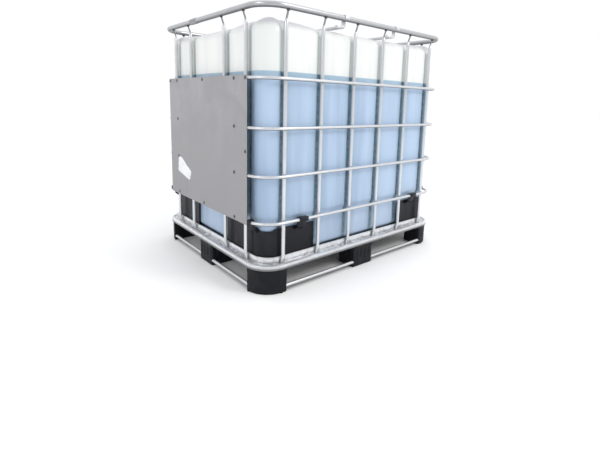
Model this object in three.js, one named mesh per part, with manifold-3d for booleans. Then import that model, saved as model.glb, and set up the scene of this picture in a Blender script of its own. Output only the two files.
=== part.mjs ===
// Intermediate bulk container: a blow-moulded bottle in a welded tube cage on a steel and plastic pallet.
// Millimetres, +Z up, +X towards the discharge valve. The origin is on the floor under the middle.
import * as THREE from "three";
import { mergeVertices } from "three/addons/utils/BufferGeometryUtils.js";
import Module from "manifold-3d";

const wasm = await Module();
wasm.setup();

// Overall size. Every closed loop is an offset of one outline: a rectangle with round corners.
const LENGTH = 1200;
const WIDTH = 1000;
const CORNER = 116;
const GAP = 0.3;

// Cage tubes.
const TUBE_SIDES = 8;
const ARC_STEPS = 5;
const HOOP_RADIUS = 7;
const HOOP_OUT = -10.4;
const HOOP_HEIGHTS = { hoop_1: 300, hoop_2: 492, hoop_3: 684, hoop_4: 877 };
const RIM_RADIUS = 12;
const RIM_OUT = -15.5;
const RIM_HEIGHT = 1144.8;
const POST_RADIUS = 8;
const POST_OUT = -25.8;
const NECK_START = 1096;
const NECK_BEND = { height: 1112, lean: 3, thick: 0.6, wide: 1.15 };
const NECK_END = { thick: 0.55, wide: 1.2 };
const SIDE_POSTS = [-475, -285, -95, 95, 285, 475];
const END_POSTS = [-344, -167, 167, 344];

// Cross bars over the bottle, with straps round the rim.
const BAR_OFFSETS = { front: 170, rear: -170 };
const BAR_WIDTH = 24;
const BAR_THICK = 12;
const BAR_HEIGHT = 1113;
const BAR_REACH = 452;
const STRAP_FROM = -0.35;
const STRAP_TO = Math.PI * 1.22;
const UPTURN = { start: 8, end: 4, inner: [16.5, 1138], outer: [13.5, 1139], knee: [12.3, 1127] };
const BOLT_RADIUS = 3.5;
const BOLT_HEAD = { radius: 7, height: 4 };
const BOLT_SIDES = 12;
const BOLT_REACH = 428;

// Pallet.
const FOOT_HEIGHT = 108;
const FOOT_OUT = -6;
const FOOT_SIDE = 137;
const FOOT_END = 131;
const FOOT_FRONT = 138;
const FOOT_DEPTH = 112;
const RUNNER_RADIUS = 8;
const RUNNER_OUT = -16;
const RUNNER_HEIGHT = 25;
const FLANGE_TOP = 124;
const CURB_TOP = 150;
const LEDGE_TOP = 134;
const TRAY_OUT = -45;
const TRAY_THICK = 2;
const TRAY_TOP = 137;
const CHANNEL_REACH = 535;
const CENTRE_CHANNEL = { offset: 0, half: 45, foot: FOOT_HEIGHT + GAP };
const SIDE_CHANNEL = { offset: 225, half: 30, foot: 114 };

// Bottle.
const BOTTLE_OUT = -39;
const BOTTLE_WALL = 5;
const BOTTLE_BASE = TRAY_TOP + GAP + 0.2;
const BOTTLE_TOP = 1105;
const GROOVE_DEPTH = 12;
const GROOVE_REACH = 42;
const NECK_RADIUS = 79;
const NECK_BORE = 73;
const NECK_TOP = 1124;
// Each level of the bottle as [height above the base or below the top, inset, groove depth].
const BASE_LEVELS = [[0, 45, 0], [14, 16, 0]];
const TOP_LEVELS = [[50, 0, GROOVE_DEPTH], [22, 9, GROOVE_DEPTH], [6, 32, 4], [0, 58, 0]];
const WAIST = { inset: 12.5, below: 37, end: 19 };
const NICHE = { back: 462, halfWidth: 120, top: 325 };

// Filler lid and vent plug.
const GASKET_THICK = 2.4;
const LID_RADIUS = 88;
const LID_THICK = 6;
const LID_CHAMFER = 3;
const SKIRT_DEPTH = 16;
const SKIRT_PLAY = 0.8;
const PLUG_BORE = 24;
const PLUG_PLAY = 0.6;
const PLUG_RADIUS = 32;

// Corner guards round the foot of the bottle.
const GUARD_OUT = -44.5;
const GUARD_THICK = 3.2;
const GUARD_TOP = 268;
const GUARD_DIP = 9;
const DIP_SPREAD = 1.6;
const GUARD_SIDE = 295;
const GUARD_END = 150;
const SIDE_HOOK = { along: 383, width: 46 };
const CORNER_HOOK = { angle: Math.PI / 4 / ARC_STEPS, width: 20 };

// Discharge valve, on an axis along X.
const OUTLET_HEIGHT = 192;
const OUTLET_RADIUS = 30;
const OUTLET_BORE = 25;
const OUTLET_END = 480;
const VALVE_END = 548;
const VALVE_FLANGE = { radius: 33, thick: 5 };
const PIPE_RADIUS = 29;
const SEAL_THICK = 3;
const RING_RADIUS = 43;
const DISC_X = 519;
const DISC_RADIUS = 24.2;
const DISC_THICK = 5;
const STEM_RADIUS = 5.5;
const STEM_PLAY = 0.7;
const BOSS_RADIUS = 13;
const BOSS_TOP = OUTLET_HEIGHT + 48;
const LEVER_REACH = 72;
const LEVER_HUB = { radius: 14, height: 11, clear: 4 };
const CAP_RADIUS = 35;
const CAP_OVERLAP = 12;
const CAP_SEAL = 2;
const ROUND = 24;

// Label plate on the rear end.
const PLATE = { halfWidth: 390, bottom: 287, top: 888, thick: 1.5, corner: 12 };

const steel = (shade) =>
  new THREE.MeshStandardMaterial({ color: shade, roughness: 0.42, metalness: 0.85 });
const plastic = (shade, roughness) =>
  new THREE.MeshStandardMaterial({ color: shade, roughness, metalness: 0 });
const GALVANISED = 0xc3c7ca;
const PLATE_GREY = 0xa7a7ab;
const BLACK = 0x1b1b1e;
const RED = 0xa8211c;
const RUBBER = 0x111112;
const MILKY = 0xe6edf0;

const container = new THREE.Group();

/** Adds one named sub-part to the container. */
function add(name, geometry, material, group = container) {
  const mesh = new THREE.Mesh(geometry, material);
  mesh.name = name;
  group.add(mesh);
  return mesh;
}

/** Reverses every face of a geometry whose faces point inwards. */
function outward(geometry) {
  const p = geometry.getAttribute("position");
  const order = geometry.index.array;
  const [a, b, c] = [new THREE.Vector3(), new THREE.Vector3(), new THREE.Vector3()];
  let volume = 0;
  for (let i = 0; i < order.length; i += 3) {
    a.fromBufferAttribute(p, order[i]);
    b.fromBufferAttribute(p, order[i + 1]);
    c.fromBufferAttribute(p, order[i + 2]);
    volume += a.dot(b.cross(c));
  }
  if (volume < 0) {
    for (let i = 0; i < order.length; i += 3) {
      [order[i + 1], order[i + 2]] = [order[i + 2], order[i + 1]];
    }
  }
  return geometry;
}

/** A geometry with shared corners merged and collapsed faces dropped. */
function welded(geometry) {
  const bare = new THREE.BufferGeometry();
  const source = geometry.index ? geometry.toNonIndexed() : geometry;
  bare.setAttribute("position", source.getAttribute("position").clone());
  const merged = mergeVertices(bare, 1e-3);
  const kept = [];
  const order = merged.index.array;
  for (let i = 0; i < order.length; i += 3) {
    const [a, b, c] = [order[i], order[i + 1], order[i + 2]];
    if (a !== b && b !== c && a !== c) kept.push(a, b, c);
  }
  merged.setIndex(kept);
  return outward(merged);
}

/** The manifold solid of a closed geometry. */
function solidOf(geometry) {
  const closed = welded(geometry);
  return new wasm.Manifold(
    new wasm.Mesh({
      numProp: 3,
      vertProperties: new Float32Array(closed.getAttribute("position").array),
      triVerts: new Uint32Array(closed.index.array),
    }),
  );
}

/** The geometry of a manifold solid. */
function geometryOf(solid) {
  const { numProp, vertProperties, triVerts } = solid.getMesh();
  const positions = [];
  for (let i = 0; i < vertProperties.length; i += numProp) {
    positions.push(...vertProperties.subarray(i, i + 3));
  }
  const geometry = new THREE.BufferGeometry();
  geometry.setAttribute("position", new THREE.Float32BufferAttribute(positions, 3));
  geometry.setIndex(Array.from(triVerts));
  return geometry;
}

/** A base geometry with others joined to it, then others cut from it. */
function carved(base, joined = [], cut = []) {
  let solid = solidOf(base);
  for (const piece of joined) solid = solid.add(solidOf(piece));
  for (const piece of cut) solid = solid.subtract(solidOf(piece));
  return geometryOf(solid);
}

/** Skins a row of equal rings of points. A loop closes on itself; a stack gets a cap at each end. */
function skin(rings, loop = false) {
  const size = rings[0].length;
  const points = rings.flat();
  const faces = [];
  const last = loop ? rings.length : rings.length - 1;
  for (let i = 0; i < last; i++) {
    const here = i * size;
    const there = ((i + 1) % rings.length) * size;
    for (let j = 0; j < size; j++) {
      const k = (j + 1) % size;
      faces.push(here + j, here + k, there + k, here + j, there + k, there + j);
    }
  }
  if (!loop) {
    for (const [start, flip] of [[0, true], [last * size, false]]) {
      const middle = new THREE.Vector3();
      for (let j = 0; j < size; j++) middle.addScaledVector(points[start + j], 1 / size);
      const hub = points.push(middle) - 1;
      for (let j = 0; j < size; j++) {
        const [a, b] = [start + j, start + ((j + 1) % size)];
        faces.push(...(flip ? [hub, b, a] : [hub, a, b]));
      }
    }
  }
  const geometry = new THREE.BufferGeometry().setFromPoints(points);
  geometry.setIndex(faces);
  return outward(geometry);
}

/** The corners of a regular section as [out, up] pairs, with flat faces at the top and the sides. */
function section(radius, sides = TUBE_SIDES) {
  const corner = radius / Math.cos(Math.PI / sides);
  return Array.from({ length: sides }, (_, i) => {
    const angle = ((i + 0.5) * 2 * Math.PI) / sides;
    return [corner * Math.cos(angle), corner * Math.sin(angle)];
  });
}

/**
 * Stations round the outline offset by `out`, each with its outward normal. The marks are extra
 * stations on the straights, as distances along the ends and along the sides.
 */
function outline(out, steps = ARC_STEPS, endMarks = [], sideMarks = []) {
  const stations = [];
  const radius = CORNER + out;
  const quarterTurns = [[1, 0], [0, 1], [-1, 0], [0, -1]];
  quarterTurns.forEach(([c, s], side) => {
    const reach = (side % 2 ? WIDTH : LENGTH) / 2 - CORNER;
    const half = (side % 2 ? LENGTH : WIDTH) / 2 - CORNER;
    const place = (u, v, nu, nv) =>
      stations.push({ x: u * c - v * s, y: u * s + v * c, nx: nu * c - nv * s, ny: nu * s + nv * c });
    for (const along of side % 2 ? sideMarks : endMarks) place(reach + radius, along, 1, 0);
    for (let i = 0; i <= steps; i++) {
      const angle = (i / steps) * (Math.PI / 2);
      const [nu, nv] = [Math.cos(angle), Math.sin(angle)];
      place(reach + radius * nu, half + radius * nv, nu, nv);
    }
  });
  return stations;
}

/** A profile of [out, up] pairs carried once round the offset outline. */
function sweep(out, profile, height = 0, steps = ARC_STEPS) {
  const rings = outline(out, steps).map(({ x, y, nx, ny }) =>
    profile.map(([o, up]) => new THREE.Vector3(x + o * nx, y + o * ny, height + up)),
  );
  return skin(rings, true);
}

/** A flat shape raised from one height to another. */
function prism(shape, low, high, curveSegments = 6) {
  const options = { depth: high - low, bevelEnabled: false, curveSegments };
  return new THREE.ExtrudeGeometry(shape, options).translate(0, 0, low);
}

/** The flat shape of the offset outline. */
function outlineShape(out, steps = ARC_STEPS) {
  return new THREE.Shape(outline(out, steps).map(({ x, y }) => new THREE.Vector2(x, y)));
}

/** A box between two corners. */
function block(x0, y0, z0, x1, y1, z1) {
  const box = new THREE.BoxGeometry(x1 - x0, y1 - y0, z1 - z0);
  return box.translate((x0 + x1) / 2, (y0 + y1) / 2, (z0 + z1) / 2);
}

/** A profile of [radius, height] pairs turned about the Z axis. */
function turned(profile, segments = ROUND) {
  const points = profile.map(([r, h]) => new THREE.Vector2(r, h));
  return welded(new THREE.LatheGeometry(points, segments).rotateX(Math.PI / 2));
}

/** A ring of rectangular section about the Z axis. */
function washer(inner, outer, low, high, segments = ROUND) {
  return turned([[inner, low], [outer, low], [outer, high], [inner, high], [inner, low]], segments);
}

/** A solid cylinder about the Z axis. */
function rod(radius, low, high, segments = ROUND) {
  return turned([[0, low], [radius, low], [radius, high], [0, high]], segments);
}

/** Lays a geometry made about the Z axis along X, on the outlet's axis. */
function onOutlet(geometry) {
  return geometry.rotateY(Math.PI / 2).translate(0, 0, OUTLET_HEIGHT);
}

// ---------------------------------------------------------------- cage

function makeHoops() {
  for (const [name, height] of Object.entries(HOOP_HEIGHTS)) {
    add(name, sweep(HOOP_OUT, section(HOOP_RADIUS), height), steel(GALVANISED));
  }
  add("top_rim", sweep(RIM_OUT, section(RIM_RADIUS), RIM_HEIGHT), steel(GALVANISED));
}

/** An upright tube whose flattened neck leans out to meet the rim from below. */
function makePosts() {
  const neckLean = RIM_OUT - POST_OUT;
  const rimFoot = RIM_HEIGHT - RIM_RADIUS - GAP;
  const levels = [
    { z: FLANGE_TOP + GAP, lean: 0, thick: 1, wide: 1 },
    { z: NECK_START, lean: 0, thick: 1, wide: 1 },
    { ...NECK_BEND, z: NECK_BEND.height },
    { ...NECK_END, z: rimFoot, lean: neckLean },
  ];
  const post = (place) =>
    skin(levels.map(({ z, lean, thick, wide }) =>
      section(POST_RADIUS).map(([a, b]) => place(a * thick + lean, b * wide, z)),
    ));
  const sideOut = WIDTH / 2 + POST_OUT;
  const endOut = LENGTH / 2 + POST_OUT;
  for (const [side, sign] of [["left", 1], ["right", -1]]) {
    SIDE_POSTS.forEach((x, i) => {
      const place = (out, along, z) => new THREE.Vector3(x + along, sign * (sideOut + out), z);
      add(`post_${side}_${i + 1}`, post(place), steel(GALVANISED));
    });
  }
  for (const [end, sign] of [["front", 1], ["rear", -1]]) {
    END_POSTS.forEach((y, i) => {
      const place = (out, along, z) => new THREE.Vector3(sign * (endOut + out), y + along, z);
      add(`post_${end}_${i + 1}`, post(place), steel(GALVANISED));
    });
  }
}

/** A half strap round the rim, as a closed shape in the plane across the rim. */
function strapShape() {
  const centreY = WIDTH / 2 + RIM_OUT;
  const inner = (RIM_RADIUS + GAP) / Math.cos(Math.PI / TUBE_SIDES);
  const outer = WIDTH / 2 - GAP - centreY;
  const shape = new THREE.Shape();
  shape.absarc(centreY, RIM_HEIGHT, outer, STRAP_FROM, STRAP_TO, false);
  shape.absarc(centreY, RIM_HEIGHT, inner, STRAP_TO, STRAP_FROM, true);
  shape.closePath();
  return shape;
}

/** The upturned end of a cross bar, as a closed shape in the plane along the bar. */
function upturnShape() {
  const rimY = WIDTH / 2 + RIM_OUT;
  const [low, high] = [BAR_HEIGHT - BAR_THICK / 2, BAR_HEIGHT + BAR_THICK / 2];
  const beside = ([inward, z]) => [rimY - inward, z];
  return new THREE.Shape([
    [BAR_REACH - UPTURN.start, low], [BAR_REACH + UPTURN.end, low], beside(UPTURN.knee),
    beside(UPTURN.outer), beside(UPTURN.inner), [BAR_REACH - UPTURN.start, high],
  ].map(([y, z]) => new THREE.Vector2(y, z)));
}

/** A cross bar: a flat tube whose ends turn up to a strap over each side of the rim. */
function crossBar() {
  const half = BAR_WIDTH / 2;
  const [low, high] = [BAR_HEIGHT - BAR_THICK / 2, BAR_HEIGHT + BAR_THICK / 2];
  const options = { depth: BAR_WIDTH, bevelEnabled: false, curveSegments: 10 };
  const ends = [upturnShape(), strapShape()].flatMap((shape) => {
    const plate = new THREE.ExtrudeGeometry(shape, options);
    plate.rotateX(Math.PI / 2).rotateZ(Math.PI / 2).translate(-half, 0, 0);
    return [plate, plate.clone().rotateZ(Math.PI)];
  });
  const holes = [-BOLT_REACH, BOLT_REACH].map((y) =>
    rod(BOLT_RADIUS + GAP, BAR_HEIGHT - 4, high + 4, BOLT_SIDES).translate(0, y, 0),
  );
  return carved(block(-half, -BAR_REACH, low, half, BAR_REACH, high), ends, holes);
}

/** A bolt whose head sits on a cross bar. */
function barBolt() {
  const [foot, seat] = [BAR_HEIGHT - 3.5, BAR_HEIGHT + BAR_THICK / 2 + GAP];
  const top = seat + BOLT_HEAD.height;
  const shank = [[0, foot], [BOLT_RADIUS, foot], [BOLT_RADIUS, seat]];
  return turned([...shank, [BOLT_HEAD.radius, seat], [BOLT_HEAD.radius, top], [0, top]], BOLT_SIDES);
}

function makeCrossBars() {
  for (const [name, x] of Object.entries(BAR_OFFSETS)) {
    add(`cross_bar_${name}`, crossBar().translate(x, 0, 0), steel(GALVANISED));
    for (const [side, y] of [["left", BOLT_REACH], ["right", -BOLT_REACH]]) {
      add(`bar_bolt_${name}_${side}`, barBolt().translate(x, y, 0), steel(PLATE_GREY));
    }
  }
}

function makeLabelPlate() {
  const shape = new THREE.Shape();
  const { halfWidth: w, bottom, top, thick, corner: r } = PLATE;
  shape.absarc(w - r, bottom + r, r, -Math.PI / 2, 0, false);
  shape.absarc(w - r, top - r, r, 0, Math.PI / 2, false);
  shape.absarc(r - w, top - r, r, Math.PI / 2, Math.PI, false);
  shape.absarc(r - w, bottom + r, r, Math.PI, Math.PI * 1.5, false);
  const options = { depth: thick, bevelEnabled: false, curveSegments: 4 };
  const plate = new THREE.ExtrudeGeometry(shape, options);
  const face = LENGTH / 2 + HOOP_OUT + HOOP_RADIUS + GAP;
  plate.rotateX(Math.PI / 2).rotateZ(Math.PI / 2).translate(-face - thick, 0, 0);
  add("label_plate", plate, steel(PLATE_GREY));
}

// ---------------------------------------------------------------- pallet

/** The pressed frame: rolled outer lip, flange for the posts, raised curb and inner ledge. */
function makeDeckFrame() {
  const foot = FOOT_HEIGHT + GAP;
  const profile = [
    [-3, foot], [0, foot + 4], [0, 123], [-4, 128], [-12, 128], [-14, FLANGE_TOP],
    [-34.2, FLANGE_TOP], [-34.2, 146], [-36, CURB_TOP], [-42, CURB_TOP], [-44, 146],
    [-44, LEDGE_TOP], [-60, LEDGE_TOP], [-60, foot],
  ];
  add("deck_frame", sweep(0, profile), steel(GALVANISED));
}

/** The floor sheet of the pallet with its stiffening channels underneath. */
function makeDeckTray() {
  const under = TRAY_TOP - TRAY_THICK;
  const sheet = prism(outlineShape(TRAY_OUT), under, TRAY_TOP);
  const channel = ({ offset, half, foot }) =>
    block(-CHANNEL_REACH, offset - half, foot, CHANNEL_REACH, offset + half, under + 1);
  const otherSide = { ...SIDE_CHANNEL, offset: -SIDE_CHANNEL.offset };
  const channels = [CENTRE_CHANNEL, SIDE_CHANNEL, otherSide].map(channel);
  add("deck_tray", carved(sheet, channels), steel(GALVANISED));
}

/** Runner tube and nine block feet, with the outer eight bored for the runner. */
function makeFeet() {
  const runnerBore = sweep(RUNNER_OUT, section(RUNNER_RADIUS + 0.5), RUNNER_HEIGHT);
  add("runner_tube", sweep(RUNNER_OUT, section(RUNNER_RADIUS), RUNNER_HEIGHT), steel(GALVANISED));
  const whole = solidOf(prism(outlineShape(FOOT_OUT), 0, FOOT_HEIGHT)).subtract(solidOf(runnerBore));
  const [hx, hy] = [LENGTH / 2, WIDTH / 2];
  const rows = {
    front: [hx - FOOT_FRONT, hx],
    middle: [-FOOT_SIDE / 2, FOOT_SIDE / 2],
    rear: [-hx, FOOT_FRONT - hx],
  };
  const columns = {
    right: [-hy, FOOT_DEPTH - hy],
    centre: [-FOOT_END / 2, FOOT_END / 2],
    left: [hy - FOOT_DEPTH, hy],
  };
  for (const [row, [x0, x1]] of Object.entries(rows)) {
    for (const [column, [y0, y1]] of Object.entries(columns)) {
      const mould = solidOf(block(x0, y0, -1, x1, y1, FOOT_HEIGHT + 1));
      add(`foot_${row}_${column}`, geometryOf(whole.intersect(mould)), plastic(BLACK, 0.7));
    }
  }
}

// ---------------------------------------------------------------- bottle and its corner guards

/** How far a wall point is drawn in beside the nearest post, from 0 to 1. */
function groove(x, y) {
  const sideOut = WIDTH / 2 + POST_OUT;
  const endOut = LENGTH / 2 + POST_OUT;
  const posts = [
    ...SIDE_POSTS.flatMap((p) => [[p, sideOut], [p, -sideOut]]),
    ...END_POSTS.flatMap((p) => [[endOut, p], [-endOut, p]]),
  ];
  const near = Math.min(...posts.map(([px, py]) => Math.hypot(px - x, py - y)));
  return Math.max(0, 1 - (near / GROOVE_REACH) ** 2);
}

/** One level of the bottle: the outline with grooves, drawn in by `inset`. */
function bottleLevel(z, inset, depth = GROOVE_DEPTH) {
  const marks = (posts, limit) =>
    posts.flatMap((p) => [-36, 0, 36].map((d) => p + d)).filter((p) => Math.abs(p) < limit);
  const ends = marks(END_POSTS, WIDTH / 2 - CORNER - 4);
  const sides = marks(SIDE_POSTS, LENGTH / 2 - CORNER - 4);
  return outline(BOTTLE_OUT, ARC_STEPS, ends, sides).map(({ x, y, nx, ny }) => {
    const back = inset + depth * groove(x, y);
    return new THREE.Vector3(x - back * nx, y - back * ny, z);
  });
}

function bottleShell(shrink) {
  const low = BOTTLE_BASE + shrink;
  const high = BOTTLE_TOP - shrink;
  return skin([
    ...BASE_LEVELS.map(([up, inset, depth]) => bottleLevel(low + up, inset + shrink, depth)),
    bottleLevel(NICHE.top - WAIST.below - shrink, WAIST.inset + shrink, 0),
    bottleLevel(NICHE.top - WAIST.end - shrink, shrink),
    ...TOP_LEVELS.map(([down, inset, depth]) => bottleLevel(high - down, inset + shrink, depth)),
  ]);
}

/** The blow-moulded bottle with its niche for the valve, and the two necks welded onto it. */
function makeBottle() {
  const niche = (grow) =>
    block(NICHE.back - grow, -NICHE.halfWidth - grow, 0, LENGTH, NICHE.halfWidth + grow, NICHE.top + grow);
  const outer = solidOf(bottleShell(0)).subtract(solidOf(niche(0)));
  const inner = solidOf(bottleShell(BOTTLE_WALL)).subtract(solidOf(niche(BOTTLE_WALL)));
  const mouth = rod(NECK_BORE, BOTTLE_TOP - 4 * BOTTLE_WALL, NECK_TOP);
  const outlet = onOutlet(rod(OUTLET_BORE, NICHE.back - 4 * BOTTLE_WALL, OUTLET_END));
  const wall = outer.subtract(inner).subtract(solidOf(mouth)).subtract(solidOf(outlet));
  add("bottle", geometryOf(wall), plastic(MILKY, 0.45));
  add("filler_neck", washer(NECK_BORE, NECK_RADIUS, BOTTLE_TOP + GAP, NECK_TOP), plastic(MILKY, 0.45));
  const spout = washer(OUTLET_BORE, OUTLET_RADIUS, NICHE.back + GAP, OUTLET_END);
  add("outlet_neck", onOutlet(spout), plastic(MILKY, 0.45));
}

/** A hook that reaches over the lowest hoop, as a shape of distance out against height. */
function hookShape() {
  const hoop = HOOP_HEIGHTS.hoop_1;
  const over = hoop + HOOP_RADIUS + 2 * GAP;
  const behind = HOOP_OUT - HOOP_RADIUS - 2 * GAP;
  const front = HOOP_OUT + HOOP_RADIUS + GAP;
  const root = GUARD_OUT - GUARD_THICK / 2;
  return new THREE.Shape([
    [root, GUARD_TOP - 18], [root + 5, GUARD_TOP - 18], [behind, GUARD_TOP], [behind, over],
    [front, over], [front, hoop - 9], [-GAP, hoop - 9], [-GAP, over + GUARD_THICK],
    [behind - 6, over + GUARD_THICK], [behind - 6, GUARD_TOP + 4], [root, GUARD_TOP - 10],
  ].map(([out, z]) => new THREE.Vector2(out, z)));
}

/** A plastic guard round a bottom corner of the bottle, lower at the corner, with two hooks. */
function cornerGuard() {
  const [cx, cy] = [LENGTH / 2 - CORNER, WIDTH / 2 - CORNER];
  const path = [];
  for (const x of [GUARD_SIDE, 350, 430, cx]) path.push([x, cy, 0, 1, x === cx ? 0.15 : 0]);
  for (let i = 1; i < ARC_STEPS; i++) {
    const angle = (1 - i / ARC_STEPS) * (Math.PI / 2);
    path.push([cx, cy, Math.cos(angle), Math.sin(angle), Math.sin((i / ARC_STEPS) * Math.PI)]);
  }
  for (const y of [cy, 260, GUARD_END]) path.push([cx, y, 1, 0, y === cy ? 0.15 : 0]);
  const rings = path.map(([x, y, nx, ny, dip]) => {
    const [near, far] = [CORNER + GUARD_OUT - GUARD_THICK, CORNER + GUARD_OUT];
    const top = GUARD_TOP - GUARD_DIP * Math.min(1, DIP_SPREAD * dip);
    return [[far, BOTTLE_BASE], [far, top], [near, top], [near, BOTTLE_BASE]].map(
      ([r, z]) => new THREE.Vector3(x + r * nx, y + r * ny, z),
    );
  });
  const hook = (width) => {
    const strip = new THREE.ExtrudeGeometry(hookShape(), { depth: width, bevelEnabled: false });
    return strip.rotateX(Math.PI / 2).translate(0, width / 2, 0);
  };
  const onSide = hook(SIDE_HOOK.width).rotateZ(Math.PI / 2).translate(SIDE_HOOK.along, WIDTH / 2, 0);
  const onCorner = hook(CORNER_HOOK.width).translate(CORNER * Math.cos(CORNER_HOOK.angle), 0, 0);
  onCorner.rotateZ(CORNER_HOOK.angle).translate(cx, cy, 0);
  return carved(skin(rings), [onSide, onCorner]);
}

function makeCornerGuards() {
  for (const [end, sx] of [["front", 1], ["rear", -1]]) {
    for (const [side, sy] of [["left", 1], ["right", -1]]) {
      const guard = outward(cornerGuard().scale(sx, sy, 1));
      add(`corner_guard_${end}_${side}`, guard, plastic(BLACK, 0.6));
    }
  }
}

// ---------------------------------------------------------------- filler lid

function makeLid() {
  const seat = NECK_TOP + GAP;
  const seal = washer(NECK_BORE + 1, NECK_RADIUS - 0.5, seat, seat + GASKET_THICK);
  add("lid_gasket", seal, plastic(RUBBER, 0.9));
  const under = seat + GASKET_THICK + GAP;
  const top = under + LID_THICK;
  const [skirt, skirtFoot] = [NECK_RADIUS + SKIRT_PLAY, NECK_TOP - SKIRT_DEPTH];
  const profile = [
    [PLUG_BORE, under], [skirt, under], [skirt, skirtFoot], [LID_RADIUS, skirtFoot],
    [LID_RADIUS, top - LID_CHAMFER], [LID_RADIUS - LID_CHAMFER, top], [PLUG_BORE, top], [PLUG_BORE, under],
  ];
  add("filler_lid", turned(profile, 32), plastic(BLACK, 0.5));
  const head = top + GAP;
  const shank = PLUG_BORE - PLUG_PLAY;
  const plug = [
    [0, under - 4], [shank, under - 4], [shank, head], [PLUG_RADIUS, head],
    [PLUG_RADIUS, head + 4], [PLUG_RADIUS - 2, head + 6], [0, head + 6],
  ];
  add("vent_plug", turned(plug), plastic(RED, 0.5));
}

// ---------------------------------------------------------------- discharge valve

/** The valve's pipe with the upright boss for the stem; its flange leaves room for a seal. */
function makeValveBody() {
  const seat = OUTLET_END + GAP;
  const start = seat + SEAL_THICK + GAP;
  const back = start + VALVE_FLANGE.thick;
  const pipe = turned([
    [0, start], [VALVE_FLANGE.radius, start], [VALVE_FLANGE.radius, back],
    [PIPE_RADIUS, back], [PIPE_RADIUS, VALVE_END], [0, VALVE_END],
  ]);
  const boss = rod(BOSS_RADIUS, OUTLET_HEIGHT + 20, BOSS_TOP).translate(DISC_X, 0, 0);
  const bore = onOutlet(rod(OUTLET_BORE, seat, VALVE_END + 5));
  const stemBore = rod(STEM_RADIUS + STEM_PLAY, OUTLET_HEIGHT, BOSS_TOP + 5, 16).translate(DISC_X, 0, 0);
  add("valve_body", carved(onOutlet(pipe), [boss], [bore, stemBore]), plastic(MILKY, 0.5));
}

/** The threaded ring that clamps the valve's flange to the outlet neck. */
function makeLockRing() {
  const flange = OUTLET_END + SEAL_THICK + 2 * GAP + VALVE_FLANGE.thick;
  const [inner, lip] = [VALVE_FLANGE.radius + 0.5, PIPE_RADIUS + 0.6];
  const [foot, shoulder, end] = [OUTLET_END - 12, flange + 0.4, flange + 4];
  const profile = [
    [inner, foot], [RING_RADIUS, foot], [RING_RADIUS, end], [lip, end],
    [lip, shoulder], [inner, shoulder], [inner, foot],
  ];
  add("valve_lock_ring", onOutlet(turned(profile)), plastic(BLACK, 0.55));
}

/** The disc that shuts the bore, its stem, and the lever on top of the stem. */
function makeValveStem() {
  const disc = rod(DISC_RADIUS, -DISC_THICK / 2, DISC_THICK / 2).rotateY(Math.PI / 2);
  const stem = rod(STEM_RADIUS, OUTLET_HEIGHT - 8, BOSS_TOP + 12, 16).translate(DISC_X, 0, 0);
  add("valve_disc", carved(disc.translate(DISC_X, 0, OUTLET_HEIGHT), [stem]), plastic(BLACK, 0.5));

  const top = BOSS_TOP + LEVER_HUB.height;
  const hub = rod(LEVER_HUB.radius, BOSS_TOP + GAP, top).translate(DISC_X, 0, 0);
  const arm = new THREE.Shape();
  arm.moveTo(9, 8);
  arm.lineTo(7, LEVER_REACH);
  arm.absarc(0, LEVER_REACH, 7, 0, Math.PI, false);
  arm.lineTo(-9, 8);
  const handle = prism(arm, BOSS_TOP + LEVER_HUB.clear, top, 8).translate(DISC_X, 0, 0);
  const socket = rod(STEM_RADIUS + 0.4, BOSS_TOP - 1, top + 9, 16).translate(DISC_X, 0, 0);
  add("valve_lever", carved(hub, [handle], [socket]), plastic(RED, 0.5));
}

/** The cap over the outlet's mouth, with its seal. */
function makeDustCap() {
  const seat = VALVE_END + GAP;
  const seal = washer(OUTLET_BORE, PIPE_RADIUS - 0.4, seat, seat + CAP_SEAL);
  add("dust_cap_gasket", onOutlet(seal), plastic(RUBBER, 0.9));
  const inside = seat + CAP_SEAL + GAP;
  const [bore, foot] = [PIPE_RADIUS + 0.7, VALVE_END - CAP_OVERLAP];
  const profile = [
    [bore, foot], [CAP_RADIUS, foot], [CAP_RADIUS, inside + 3], [CAP_RADIUS - 3, inside + 5],
    [0, inside + 5], [0, inside], [bore, inside], [bore, foot],
  ];
  add("dust_cap", onOutlet(turned(profile)), plastic(RED, 0.5));
}

makeHoops();
makePosts();
makeCrossBars();
makeLabelPlate();
makeDeckFrame();
makeDeckTray();
makeFeet();
makeBottle();
makeCornerGuards();
makeLid();
makeValveBody();
makeLockRing();
makeValveStem();
makeDustCap();

export default container;
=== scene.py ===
"""Finished looks for an intermediate bulk container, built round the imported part's frame, in metres."""

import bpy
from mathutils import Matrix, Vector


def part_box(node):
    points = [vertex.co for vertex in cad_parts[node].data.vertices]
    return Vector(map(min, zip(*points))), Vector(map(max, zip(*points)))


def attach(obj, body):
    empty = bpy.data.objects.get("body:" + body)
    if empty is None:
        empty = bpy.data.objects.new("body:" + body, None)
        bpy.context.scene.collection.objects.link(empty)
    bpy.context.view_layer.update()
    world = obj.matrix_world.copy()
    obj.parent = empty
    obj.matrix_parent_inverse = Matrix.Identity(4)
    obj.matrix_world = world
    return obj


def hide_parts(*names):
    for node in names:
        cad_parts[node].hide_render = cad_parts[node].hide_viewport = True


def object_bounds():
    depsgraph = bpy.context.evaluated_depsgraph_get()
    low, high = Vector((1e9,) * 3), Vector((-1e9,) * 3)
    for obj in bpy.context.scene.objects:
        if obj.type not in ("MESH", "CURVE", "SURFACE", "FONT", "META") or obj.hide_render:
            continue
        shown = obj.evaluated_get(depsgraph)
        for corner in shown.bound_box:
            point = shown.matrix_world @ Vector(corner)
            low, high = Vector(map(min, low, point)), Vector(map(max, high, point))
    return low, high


bl_info = {
    "name": "Bulk container looks",
    "version": (1, 0, 0),
    "blender": (4, 5, 0),
    "location": "View3D > Sidebar > Container",
    "description": "Builds the bottle, cage, pallet, lid and valve of a bulk container as finished surfaces",
    "category": "Object",
}

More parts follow.
